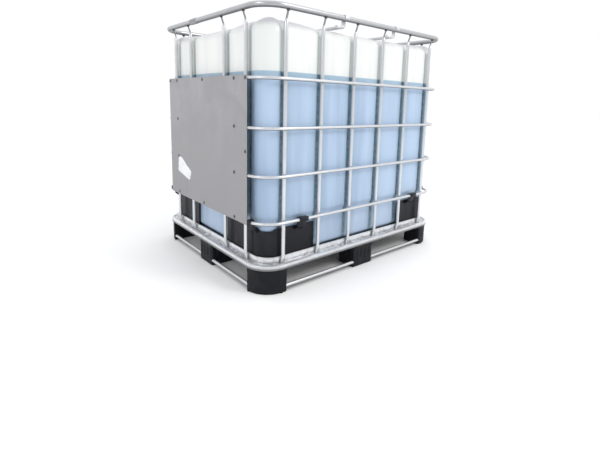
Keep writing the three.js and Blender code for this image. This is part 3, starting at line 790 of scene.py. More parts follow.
def sleeve_shell():
    """The sleeve over the joint of the rim tube's two ends, tapered at both of its own."""
    tubes = settings().tubes
    height, out = rim_line()
    start, end = distance_round("rear", 0.130), distance_round("rear", 0.062)
    run = np.linspace(start, end, 14)
    taper = np.minimum(smooth(run, start, start + 6 * MM), 1 - smooth(run, end - 6 * MM, end))
    radius = tubes.rim + 0.3 * MM + 1.3 * MM * taper
    place, normal = outline(run, out)
    return shell(carry(raised(place, height), raised(normal), UP, ellipse(tubes.sides + 4, radius, radius)))


class BULK_OT_cage(bpy.types.Operator):
    """Builds the hoops, the top rim, the uprights and their welds"""
    bl_idname = "bulk.cage"
    bl_label = "Tube cage"

    def execute(self, context):
        sides = settings().tubes.sides
        for name, height, out in hoop_lines():
            hoop = hoop_shell(height, out)
            piece(f"{name}_tube", [hoop], finish("tube"), replaces=[name],
                  values=underside_shade(sides, hoop))
        for name, side, s in posts():
            piece(f"{name}_tube", [post_shell(name, side, s)], finish("post"),
                  replaces=[name])
        rim = rim_shell()
        piece("top_rim_tube", [rim], finish("rim"), replaces=["top_rim"],
              values=underside_shade(sides + 4, rim))
        piece("cage_welds", weld_shells(), finish("weld"))
        piece("rim_welds", rim_weld_shells(), finish("rivet"))
        piece("rim_sleeve", [sleeve_shell()], finish("bolt"))
        return {"FINISHED"}


def bar_path():
    """One cross bar's centre line in the plane across the container, as [y, z, thickness, width].

    From the middle outwards it runs level, turns up through a quarter circle, climbs beside the
    rim and bends over it through half a circle. The other half is its mirror image.
    """
    rim_height, rim_out = rim_line()
    radius = settings().tubes.rim
    low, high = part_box("bar_bolt_front_left")
    bar_low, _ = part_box("cross_bar_front")
    full, thin = 12 * MM, 2.4 * MM
    level = bar_low.z + full / 2
    rim_y = WIDTH / 2 + rim_out
    strap = radius + thin / 2 + 0.4 * MM
    inner = rim_y - strap
    bend = 13 * MM
    flat = level - full / 2 + thin / 2
    bolt = (low.y + high.y) / 2
    t = np.linspace(0, 1, 9)[:, None]
    run = np.array([0, 0.5, 0.8, 1.0])[:, None] * (bolt + 10 * MM)
    run = np.hstack([run, np.full_like(run, level), np.full_like(run, full), np.full_like(run, 24 * MM)])
    ease = smooth(t, 0, 1)
    squash = np.hstack([bolt + (11 + 20 * t) * MM, level + (flat - level) * ease,
                        full + (thin - full) * ease, 24 * MM + 6 * MM * np.sin(t * math.pi) * (1 - 0.3 * t)])
    turn = t * TAU / 4
    up_turn = np.hstack([inner - bend + bend * np.sin(turn), flat + bend - bend * np.cos(turn),
                         np.full_like(t, thin), np.full_like(t, 24 * MM)])
    over = np.linspace(0, 1, 15)[:, None] * (TAU / 2 + 0.30)
    wrap = np.hstack([rim_y - strap * np.cos(over), rim_height + strap * np.sin(over),
                      np.full_like(over, thin), np.full_like(over, 24 * MM)])
    half = np.vstack([run, squash, up_turn, wrap])
    mirror = half[:0:-1] * [-1, 1, 1, 1]
    return np.vstack([mirror, half])


def bar_shell(x):
    """A cross bar: a softened rectangle, thickness by width, carried along its centre line."""
    line = bar_path()
    path = np.stack([np.full(len(line), x), line[:, 0], line[:, 1]], -1)
    step = np.gradient(path, axis=0)
    step /= np.linalg.norm(step, axis=1, keepdims=True)
    across = np.cross(step, [1.0, 0.0, 0.0])
    square = soften([[-1, -1], [1, -1], [1, 1], [-1, 1]], 0.4, 3)
    half = np.stack([line[:, 3], line[:, 2]], -1)[:, None, :] / 2
    return shell(carry(path, np.broadcast_to([1.0, 0.0, 0.0], path.shape), across, square * half))


def hex_bolt(centre, flat, height):
    """A six-sided bolt head with a domed top over a round washer."""
    def facets(radius, level, t):
        corner = 1 / np.cos((t + TAU / 12) % (TAU / 6) - TAU / 12)
        return (radius * corner - radius) * (level > 1.3 * MM) * (radius > 2 * MM)

    washer = [[0, 0], [flat * 1.45, 0], [flat * 1.45, 1.2 * MM], [0, 1.2 * MM]]
    head = [[0, 1.2 * MM], [flat, 1.4 * MM], [flat, height - 0.8 * MM], [flat * 0.8, height], [0, height]]
    return [turned_solid(washer, 0.3 * MM, centre, segments=36),
            turned_solid(head, 0.4 * MM, centre, segments=36, lobes=facets)]


class BULK_OT_cross_bars(bpy.types.Operator):
    """Builds the two bars over the bottle and their bolts"""
    bl_idname = "bulk.cross_bars"
    bl_label = "Cross bars"

    def execute(self, context):
        for end in ("front", "rear"):
            low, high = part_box(f"cross_bar_{end}")
            piece(f"bar_{end}", [bar_shell((low.x + high.x) / 2)], finish("tube"),
                  replaces=[f"cross_bar_{end}"])
            for side in ("left", "right"):
                node = f"bar_bolt_{end}_{side}"
                low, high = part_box(node)
                flat = 4.8 * MM
                middle = (low + high) / 2
                seat = high.z - 4.3 * MM
                piece(f"{node}_head", hex_bolt((middle.x, middle.y, seat), flat, high.z - seat),
                      finish("bolt"), replaces=[node])
        return {"FINISHED"}


# ---------------------------------------------------------------- label plate

def plate_fixings():
    """[across, height] of each fixing on the label plate: on the hoops first, then along its edges."""
    first, second, third, fourth = (height for _, height, _ in hoop_lines())
    full = [(y, z) for z in (first, fourth) for y in (-0.290, 0.0, 0.290)]
    part = [(y, z) for z in (second, third) for y in (-0.290, 0.290)]
    clips = [(-0.378, fourth), (-0.378, (second + third) / 2), (0.378, fourth)]
    return np.array(full + part), np.array(clips)


def plate_shell():
    """The label plate, a thin sheet: front and back points at each height make one closed ring.

    The front is drawn back by a bell-shaped dimple at each fixing, waves slightly like thin sheet,
    and bends back along its two upright edges.
    """
    low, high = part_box("label_plate")
    fixings, clips = plate_fixings()
    y = np.concatenate([np.linspace(low.y, low.y + 12 * MM, 6)[:-1],
                        np.linspace(low.y + 12 * MM, high.y - 12 * MM, 150),
                        np.linspace(high.y - 12 * MM, high.y, 6)[1:]])
    z = np.unique(np.concatenate([np.linspace(low.z, high.z, 90),
                                  (fixings[:, 1][:, None] + np.linspace(-10, 10, 9) * MM).ravel()]))
    z = z[(z >= low.z) & (z <= high.z)]
    yy, zz = np.meshgrid(y, z)
    dimple = sum(bell(np.hypot(yy - a, zz - b), 10 * MM) for a, b in np.vstack([fixings, clips]))
    wave = 0.25 * MM * (1 + np.sin(yy * 9.5 + 1.2) * np.sin(zz * 7.5) * np.sin(zz * 2.1 + yy * 3))
    edge = smooth(np.minimum(yy - low.y, high.y - yy), 0, 3 * MM)
    top = smooth(np.minimum(zz - low.z, high.z - zz), 0, 2 * MM)
    front = low.x + wave * edge + 1.3 * MM * dimple + 1.0 * MM * (1 - edge) + 0.4 * MM * (1 - top)
    back = np.maximum(front + 0.7 * MM, high.x - 0.2 * MM)
    rows = np.concatenate([np.stack([front, yy, zz], -1), np.stack([back, yy, zz], -1)[:, ::-1]], 1)
    return shell(rows)


def fixing_shells(profile):
    """The same turned shape at the bottom of each dimple."""
    low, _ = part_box("label_plate")
    fixings, clips = plate_fixings()
    return [turned_solid(np.array(profile) * MM, 0.25 * MM, (low.x + 1.2 * MM, y, z), axis="X", segments=28)
            for y, z in np.vstack([fixings, clips])]


def sticker_shell():
    """A blank sticker with torn edges.

    The outline is a five-sided shape resampled evenly; each point moves along its normal by a sum of
    two short waves and a little seeded noise, which makes the torn edge.
    """
    low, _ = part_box("label_plate")
    rng = np.random.default_rng(5)
    corners = np.array([[0.290, 0.485], [0.255, 0.491], [0.135, 0.427], [0.159, 0.382], [0.298, 0.413]])
    rim = resample(soften(corners, 9 * MM), 170)
    t = np.arange(len(rim))
    tear = np.sin(t * 0.9) * np.sin(t * 0.31) * 1.6 * MM + rng.normal(0, 0.5 * MM, len(rim))
    rim = rim + edge_normals(rim) * tear[:, None]
    return slab(rim, (low.x + 0.1 * MM, 0, 0), (0, 1, 0), (0, 0, 1), (-1, 0, 0), 0.45 * MM, bevel=0.1 * MM)


class BULK_OT_label_plate(bpy.types.Operator):
    """Builds the end plate, its rivets and the blank sticker"""
    bl_idname = "bulk.label_plate"
    bl_label = "Label plate"

    def execute(self, context):
        piece("end_plate", [plate_shell()], finish("plate"), replaces=["label_plate"])
        washer = fixing_shells([[0, 0.2], [10.0, 0.2], [10.0, -0.8], [8.6, -1.2], [0, -1.2]])
        head = fixing_shells([[0, -1.25], [7.2, -1.25], [6.6, -2.0], [4.0, -2.4], [0, -2.4]])
        piece("plate_washers", washer, finish("bolt"))
        piece("plate_rivets", head, finish("rivet"))
        piece("blank_sticker", [sticker_shell()], finish("paper"))
        return {"FINISHED"}


# ---------------------------------------------------------------- pallet

def deck_shell():
    """The pressed deck frame: one profile of [out, up] pairs carried round the outline.

    The sloping flange between the rolled lip and the curb rises and falls as a cosine of distance
    round, which makes its cross ribs, and stands a little proud at each upright's foot. The second
    result says how much painted shade and grime each point gets: most in the corners of the crease
    and between the ribs.
    """
    low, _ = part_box("deck_frame")
    base = low.z / MM
    lip = [[-5, base - 3.6], [-1, base - 2.2], [0, base + 3], [0, 120], [-3, 126], [-8, 128],
           [-13, 126], [-15.5, 121.5]]
    slope = [[out, 121.5 + (-15.5 - out) * 0.16] for out in (-17, -20, -23, -26, -29, -31.5)]
    curb = [[-33.6, 125.5], [-34.4, 145], [-36.5, 149.6], [-41.5, 149.8], [-43.8, 145], [-44.2, 134.5],
            [-47, 133.8], [-60, 133.8], [-60, base + 0.5]]
    under = [[-15, base + 0.5]]
    profile = np.array(lip + slope + curb + under) * MM
    first, last = len(lip), len(lip) + len(slope)
    on_slope = np.zeros(len(profile))
    on_slope[first:last] = [0.5, 1, 1, 1, 1, 0.6]
    # how much painted shade each profile point gets: in the crease and on the inner and lower faces
    fold = np.zeros(len(profile))
    fold[first - 2:last + 1] = [0.5, 0.9, 1.0, 0.75, 0.65, 0.65, 0.65, 0.75, 1.0]
    fold[last + 5:] = 0.8
    s = stations(1150, np.linspace(-14, 14, 9) * MM)
    rib = 0.5 + 0.5 * np.cos(s / girth() * RIB_COUNT * TAU)
    seat = bell(to_nearest_post(s), 12 * MM)
    lift = (rib * RIB_HEIGHT * (1 - seat) + seat * SEAT_HEIGHT)[:, None] * on_slope
    section = np.repeat(profile[None], len(s), 0)
    ribbed = np.minimum(section[:, :, 1] + lift, low.z + 18.5 * MM)
    section[:, :, 1] = np.where(on_slope > 0, ribbed, section[:, :, 1])
    marks = fold * (0.60 + 0.40 * (1 - rib[:, None]) * (on_slope > 0))
    return loop(s, 0.0, 0.0, section), marks.ravel()


def runner_shell():
    """The ground runner, a plain round tube carried round the outline."""
    low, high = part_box("runner_tube")
    radius = settings().tubes.runner
    s = stations(260)
    radii = np.full(len(s), radius)
    return loop(s, high.x - radius - LENGTH / 2, (low.z + high.z) / 2,
                ellipse(settings().tubes.sides, radii, radii))


def foot_plan(node):
    """A foot's outline from above: its box, cut to the container's outline, with softened corners."""
    low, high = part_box(node)
    a, b, _ = halves()
    points, radii = [], []
    for x, y in ((low.x, low.y), (high.x, low.y), (high.x, high.y), (low.x, high.y)):
        if abs(x) > a and abs(y) > b:
            reach = max(abs(x) - a, abs(y) - b)
            t = np.linspace(0, TAU / 4, 14)
            t = t if x * y > 0 else TAU / 4 - t
            sign, centre = np.sign([x, y]), np.array([a, b])
            arc = (np.stack([np.cos(t), np.sin(t)], -1) * reach + centre) * sign
            points += list(arc)
            radii += [0.5 * MM] * len(arc)
        else:
            points.append(np.array([x, y]))
            radii.append(11 * MM)
    return resample(soften(points, radii), 220)


def foot_shell(node):
    """A moulded foot: its plan drawn in by an inset at each height.

    The inset rounds the bottom and top edges, tapers slightly downwards, and repeats round the foot
    as shallow upright flutes between a plain band above and below.
    """
    low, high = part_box(node)
    plan = foot_plan(node)
    normal = edge_normals(plan)
    height = high.z - low.z
    h = np.concatenate([np.linspace(0, 8, 7), np.linspace(14, 32, 3), np.linspace(36, 46, 5), [62, 78],
                        np.linspace(84, 92, 5), np.linspace(96, height / MM, 7)]) * MM
    flutes = round(len(plan) / 13)
    wave = smooth(np.cos(np.arange(len(plan)) / len(plan) * TAU * flutes), -0.2, 0.5)
    band = smooth(h, 36 * MM, 46 * MM) * (1 - smooth(h, 80 * MM, 92 * MM))

    def rounding(depth):
        """How far a quarter circle draws the side in at a depth below its edge."""
        return FOOT_EDGE - np.sqrt(FOOT_EDGE ** 2 - np.maximum(FOOT_EDGE - depth, 0) ** 2)

    inset = rounding(h) + 0.5 * rounding(height - h) + FOOT_TAPER * (1 - h / height)
    inset = inset[:, None] + FLUTE_DEPTH * band[:, None] * wave[None, :]
    flat = plan[None] - normal[None] * inset[..., None]
    return shell(raised(flat, h[:, None] + low.z))


class BULK_OT_pallet(bpy.types.Operator):
    """Builds the deck frame, the ground runner and the nine feet"""
    bl_idname = "bulk.pallet"
    bl_label = "Pallet"

    def execute(self, context):
        deck, fold = deck_shell()
        piece("deck_rim", [deck], finish("pressed"), replaces=["deck_frame"],
              values={"fold": fold})
        runner = runner_shell()
        piece("ground_runner", [runner], finish("tube"), replaces=["runner_tube"],
              values=underside_shade(settings().tubes.sides, runner))
        for node in sorted(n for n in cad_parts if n.startswith("foot_")):
            piece(f"{node}_block", [foot_shell(node)], finish("foot"), replaces=[node])
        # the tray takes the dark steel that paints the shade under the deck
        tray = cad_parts["deck_tray"]
        tray.data.materials.clear()
        tray.data.materials.append(finish("tray"))
        return {"FINISHED"}


# ---------------------------------------------------------------- bottle

def niche():
    """Back, half width and top of the valve niche: behind the lock ring and clear of the lever."""
    ring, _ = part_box("valve_lock_ring")
    return ring.x - 6 * MM, 120 * MM, 325 * MM


def corner_hump(s):
    """1 at the middle of each corner of the outline, falling away as a wide bell."""
    _, b, corner = halves()
    eighth = corner * TAU / 8
    turns = np.array([distance_round("front", b) + eighth, distance_round("rear", b) - eighth,
                      distance_round("front", -b) - eighth, distance_round("rear", -b) + eighth])
    gap = np.abs(s[:, None] - turns)
    return bell(np.minimum(gap, girth() - gap).min(1), 0.230)


class BottleRows:
    """Rows of points from the bottle's base up its wall, over the top and down its filler neck.

    `rows` holds the points, `marks` how deep in a groove each point lies, and `flank_shade` how near it
    is to one.
    """

    def __init__(self):
        self.sizes = settings().bottle
        self.back, self.half_width, self.niche_top = niche()
        middle = distance_round("front", 0.0)
        edges = middle + np.concatenate([
            sign * (self.half_width + np.linspace(-8, 8, 9) * MM) for sign in (-1, 1)])
        self.s = stations(380, np.array([-30, -20, -12, -6, 0, 6, 12, 20, 30]) * MM, edges)
        across = np.abs(self.s - middle)
        self.across = np.minimum(across, girth() - across)
        near = to_nearest_post(self.s)
        self.groove = bell(near, self.sizes.groove_width)
        self.belly = 1 - bell(near, self.sizes.belly_width)
        self.dip = bell(near, 38 * MM)
        # how near each point is to a groove, which sets the painted shade beside it
        self.flank_shade = bell(near, 34 * MM)
        self.hump = corner_hump(self.s)
        self.rows, self.marks = [], []
        self.wall(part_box("bottle")[0].z)
        self.shoulder()
        self.top(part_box("bottle")[1].z)
        self.neck(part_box("filler_neck")[1].z)

    def add(self, row, mark=0.0):
        self.rows.append(row)
        self.marks.append(np.broadcast_to(mark, len(self.s)))

    def push(self, z):
        """How far the niche pushes the wall in at height z."""
        wide = 1 - smooth(self.across, self.half_width - 6 * MM, self.half_width + 6 * MM)
        deep = LENGTH / 2 + self.sizes.wall_out - self.back
        return deep * wide * (1 - smooth(z, self.niche_top - 7 * MM, self.niche_top + 7 * MM))

    def ring(self, inset, z, grooved=1.0):
        """A ring of the wall at height z: the outline less its grooves, plus its bellies."""
        sizes = self.sizes
        ripple = sizes.belly * self.belly - sizes.groove * self.groove
        place, _ = outline(self.s, sizes.wall_out + ripple * grooved - inset - self.push(np.max(z)))
        return raised(place, z)

    def circle(self, radius, z):
        """A level circle round the filler neck's axis."""
        return raised(self.spokes * np.reshape(radius, (-1, 1)), z)

    def wall(self, base):
        """The base's rounded edge, a narrower waist inside the guards, and the wall."""
        for t in np.linspace(0, 1, 9):
            turn = t * TAU / 4
            inset = WAIST + 34 * MM * (1 - math.sin(turn))
            self.add(self.ring(inset, base + 26 * MM * (1 - math.cos(turn)), 0.35 * t), self.groove * 0.4 * t)
        levels = np.concatenate([
            np.linspace(base + 40 * MM, 0.284, 8), np.linspace(0.292, 0.318, 7),
            self.niche_top + np.linspace(-8, 8, 9) * MM, np.linspace(0.350, self.sizes.shoulder - 0.01, 26)])
        for z in np.unique(levels):
            waist = WAIST * (1 - smooth(z, 0.286, 0.322))
            self.add(self.ring(waist, z, 0.35 + 0.65 * float(smooth(z, 0.19, 0.322))), self.groove)

    def shoulder(self):
        """A quarter ellipse, higher at the four corners and lower at each groove."""
        sizes = self.sizes
        for t in np.linspace(0, 1, 20):
            turn = t * TAU / 4
            bend = (sizes.corner_lift * self.hump - sizes.arch * self.dip) * math.sin(turn) ** 2
            height = sizes.shoulder + SHOULDER_RISE * math.sin(turn) + bend
            inset = SHOULDER_RUN * (1 - math.cos(turn))
            self.add(self.ring(inset, height, 1 - 0.92 * t ** 0.6), self.groove * (1 - t) ** 2)

    def top(self, height):
        """Each point slides in a straight line to the neck's circle, over channels and low panels."""
        brink = self.rows[-1]
        self.turn = np.arctan2(brink[:, 1], brink[:, 0])
        self.spokes = np.stack([np.cos(self.turn), np.sin(self.turn)], -1)
        crest = brink[:, 2]
        for t in np.concatenate([np.linspace(0, 1, 26)[1:], [1.0]]):
            flat = brink[:, :2] * (1 - t) + self.spokes * NECK_RADIUS * t
            x, y = np.abs(flat).T
            lift = (height - crest) * (1 - (1 - t) ** 2) * (1 - 0.5 * self.hump * (1 - t))
            channel = bell(np.abs(x - 0.170), 26 * MM) * smooth(1 - t, 0, 0.35) * smooth(t, 0, 0.12) * 8 * MM
            panel = np.sin(y * 26) * smooth(t, 0.05, 0.3) * smooth(1 - t, 0.1, 0.4) * 2.5 * MM
            self.add(raised(flat, crest + lift - channel + panel))

    def neck(self, mouth):
        """The neck's helical thread, its bore, and the liquid's level surface below it."""
        foot = mouth - 18 * MM
        for z in np.linspace(foot, mouth - 1 * MM, 22):
            ridge = 0.5 + 0.5 * np.cos((z - foot) / THREAD_PITCH * TAU - self.turn)
            hold = smooth(z, foot, foot + 2 * MM) * (1 - smooth(z, mouth - 4 * MM, mouth - 2 * MM))
            self.add(self.circle(NECK_RADIUS - 0.3 * MM - THREAD_DEPTH * ridge * hold, z))
        liquid = self.sizes.liquid - mouth
        inside = [(NECK_RADIUS - 1.2 * MM, 0), (BORE_RADIUS + 0.8 * MM, 0), (BORE_RADIUS, -1 * MM),
                  (BORE_RADIUS, -30 * MM), (0.10, -38 * MM), (0.24, -42 * MM), (0.27, -60 * MM),
                  (0.27, liquid + 12 * MM), (0.268, liquid), (0.18, liquid - 0.5 * MM),
                  (0.09, liquid - 0.5 * MM), (0.01, liquid - 0.5 * MM)]
        for radius, depth in inside:
            self.add(self.circle(radius, mouth + depth))


def spout_shell():
    """The outlet neck, a short threaded tube on the niche's back wall."""
    low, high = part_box("outlet_neck")
    back, end = niche()[0] / MM, high.x / MM
    profile = [[25, back - 14], [34, back - 14], [33, back + 3], [30, back + 6], [30, end], [25, end]]
    return turned(soften(np.array(profile) * MM, 0.8 * MM), (0, 0, (low.z + high.z) / 2), axis="X")


class BULK_OT_bottle(bpy.types.Operator):
    """Builds the blow-moulded bottle with its niche and necks"""
    bl_idname = "bulk.bottle"
    bl_label = "Bottle"

    def execute(self, context):
        bottle = BottleRows()
        spout = spout_shell()
        plain = np.zeros(len(spout[0]))
        piece("bottle_wall", [shell(bottle.rows), spout], finish("bottle"),
              replaces=["bottle", "filler_neck", "outlet_neck"], crease=60,
              # the groove and flank numbers set the painted shade in and beside the grooves
              values={"groove": np.concatenate([*bottle.marks, plain]),
                      "flank_shade": np.concatenate([np.tile(bottle.flank_shade, len(bottle.rows)), plain])})
        return {"FINISHED"}


# ---------------------------------------------------------------- corner guards

def guard_strip(s, middle, span, base):
    """The guard's upright strip, between distances `s` round the outline.

    Its outer face stands forward in soft panels between a lip above and below, and its top edge
    dips a little round the corner.
    """
    off_corner = np.abs((s - middle + girth() / 2) % girth() - girth() / 2)
    top = GUARD_TOP - GUARD_DIP * (1 - smooth(off_corner, 30 * MM, 75 * MM))
    h = np.concatenate([np.linspace(0, 0.06, 4), np.linspace(0.12, 0.88, 12), np.linspace(0.94, 1, 4)])
    reach = np.abs(s - s[0])[:, None] / abs(span)
    panel = smooth(np.cos(reach * TAU * 4.5), -0.75, -0.35)
    panel = panel * smooth(h, 0.08, 0.13) * (1 - smooth(h, 0.85, 0.91))
    lips = 0.8 * MM * (bell(h - 0.97, 0.02) + bell(h - 0.03, 0.02))
    ends = np.minimum(smooth(reach, 0, 0.012), smooth(1 - reach, 0, 0.012))
    outer = GUARD_THICK / 2 - 0.6 * MM + (0.6 * MM * panel + lips) * ends
    height = base + (top[:, None] - base) * h
    front = np.stack([outer, height], -1)
    back = np.stack([np.full(height.shape, -GUARD_THICK / 2), height], -1)[:, ::-1][:, ::3]
    place, normal = outline(s, GUARD_OUT - GUARD_THICK / 2)
    return shell(carry(raised(place), raised(normal), UP, np.concatenate([front, back], 1)))


def hook_profile():
    """A hook's side view as [out, up] pairs: up from the strip, over the lowest hoop and down again."""
    _, hoop_height, hoop_out = hoop_lines()[0]
    radius = settings().tubes.hoop
    root = GUARD_OUT - GUARD_THICK / 2
    over, under = hoop_height + radius + 0.5 * MM, hoop_height - 9 * MM
    back, front = hoop_out - radius - 0.5 * MM, hoop_out + radius + 0.3 * MM
    return soften(np.array([
        [root, 0.250], [root + 5 * MM, 0.250], [back, GUARD_TOP], [back, over], [front, over],
        [front, under], [front + 2.8 * MM, under], [front + 2.8 * MM, over + 3.2 * MM],
        [back - 6 * MM, over + 3.2 * MM], [back - 6 * MM, 0.272], [root, 0.258]]), 1.6 * MM)


def guard_shells(node):
    """A corner guard: its strip carried round one corner, and a hook on each side of that corner."""
    low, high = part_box(node)
    end_side = "front" if "front" in node else "rear"
    long_side = "left" if "left" in node else "right"
    sx, sy = (1 if end_side == "front" else -1), (1 if long_side == "left" else -1)
    a, b, corner = halves()
    from_s = distance_round(long_side, low.x if sx > 0 else high.x)
    to_s = distance_round(end_side, low.y if sy > 0 else high.y)
    span = (to_s - from_s + girth() / 2) % girth() - girth() / 2
    middle = distance_round(long_side, sx * a) + math.copysign(corner * TAU / 8, span)
    shells = [guard_strip(from_s + np.linspace(0, 1, 150) * span, middle, span, low.z)]
    bite = math.copysign(corner * TAU / 40, -span)
    hooks = [(distance_round(long_side, sx * SIDE_HOOK_PLACE), SIDE_HOOK_WIDTH, 0.0),
             (distance_round(end_side, sy * b) + bite, CORNER_HOOK_WIDTH, corner * (1 - math.cos(TAU / 40)))]
    for where, width, pull in hooks:
        place, outward, along = stand_at(where, -pull)
        start = place - along * width / 2
        shells.append(slab(hook_profile(), start, outward, UP, along, width, bevel=0.9 * MM))
    return shells


class BULK_OT_corner_guards(bpy.types.Operator):
    """Builds the four black guards round the bottle's lower corners"""
    bl_idname = "bulk.corner_guards"
    bl_label = "Corner guards"

    def execute(self, context):
        for node in sorted(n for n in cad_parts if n.startswith("corner_guard_")):
            piece(node.replace("corner_guard", "guard"), guard_shells(node), finish("guard"),
                  replaces=[node])
        return {"FINISHED"}


# ---------------------------------------------------------------- filler lid

def grips(count, depth, inner):
    """Round grip ribs: adds depth * cos(count * t) to radii beyond `inner`."""
    return lambda radius, level, t: depth * np.cos(count * t) * (radius > inner)


class BULK_OT_filler_lid(bpy.types.Operator):
    """Builds the screw lid, its vent plug and the seal"""
    bl_idname = "bulk.filler_lid"
    bl_label = "Filler lid"

    def execute(self, context):
        low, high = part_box("filler_lid")
        plug_low, plug_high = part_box("vent_plug")
        foot, top = low.z / MM, high.z / MM
        ring = [[24, top - 6], [70, top - 6], [79.9, top - 6.0], [79.9, foot], [86.6, foot], [87.0, foot + 4],
                [87.0, top - 6], [84.5, top - 2.0], [80, top - 0.2], [74, top - 0.2], [71, top - 2.6],
                [46, top - 2.6], [43, top], [33.5, top], [33.5, top - 1], [24, top - 1]]
        lid = turned(soften(np.array(ring) * MM, 0.9 * MM), segments=240, lobes=grips(40, 0.9 * MM, 86 * MM))
        piece("screw_lid", [lid, *self.spokes(top)], finish("lid"), body="filler_lid_body",
              replaces=["filler_lid"])
        base, crown = plug_low.z / MM, plug_high.z / MM
        plug = [[0, base], [23, base], [23, crown - 6.4], [31, crown - 6.2], [31.2, crown - 3],
                [29, crown - 1.4], [22, crown - 1.2], [19, crown - 3], [0, crown - 3]]
        cap = turned_solid(np.array(plug) * MM, 0.8 * MM, (0, 0, 0), segments=144,
                           lobes=grips(18, 0.7 * MM, 28 * MM))
        bar = slab(soften(np.array([[-19, -4], [19, -4], [19, 4], [-19, 4]]) * MM, 2 * MM),
                   (0, 0, (crown - 3.4) * MM), (1, 0, 0), (0, 1, 0), (0, 0, 1), 3.3 * MM)
        piece("vent_cap", [cap, bar], finish("red"), body="vent_plug_body",
              replaces=["vent_plug"])
        seal_foot, seal_top = (corner.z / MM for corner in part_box("lid_gasket"))
        seal = [[74, seal_foot], [78.5, seal_foot], [78.5, seal_top], [74, seal_top]]
        piece("lid_seal", [turned(soften(np.array(seal) * MM, 0.8 * MM))], finish("rubber"),
              body="lid_lift_carrier", replaces=["lid_gasket"])
        return {"FINISHED"}

    def spokes(self, top):
        """Six raised ribs between the lid's hub and its rim."""
        shape = soften(np.array([[42, -2], [76, -3], [76, 3], [42, 2]]) * MM, 1 * MM)
        shells = []
        for turn in np.arange(6) / 6 * TAU:
            u = (math.cos(turn), math.sin(turn), 0)
            v = (-math.sin(turn), math.cos(turn), 0)
            shells.append(slab(shape, (0, 0, (top - 3.2) * MM), u, v, (0, 0, 1), 3.0 * MM))
        return shells


# ---------------------------------------------------------------- discharge valve

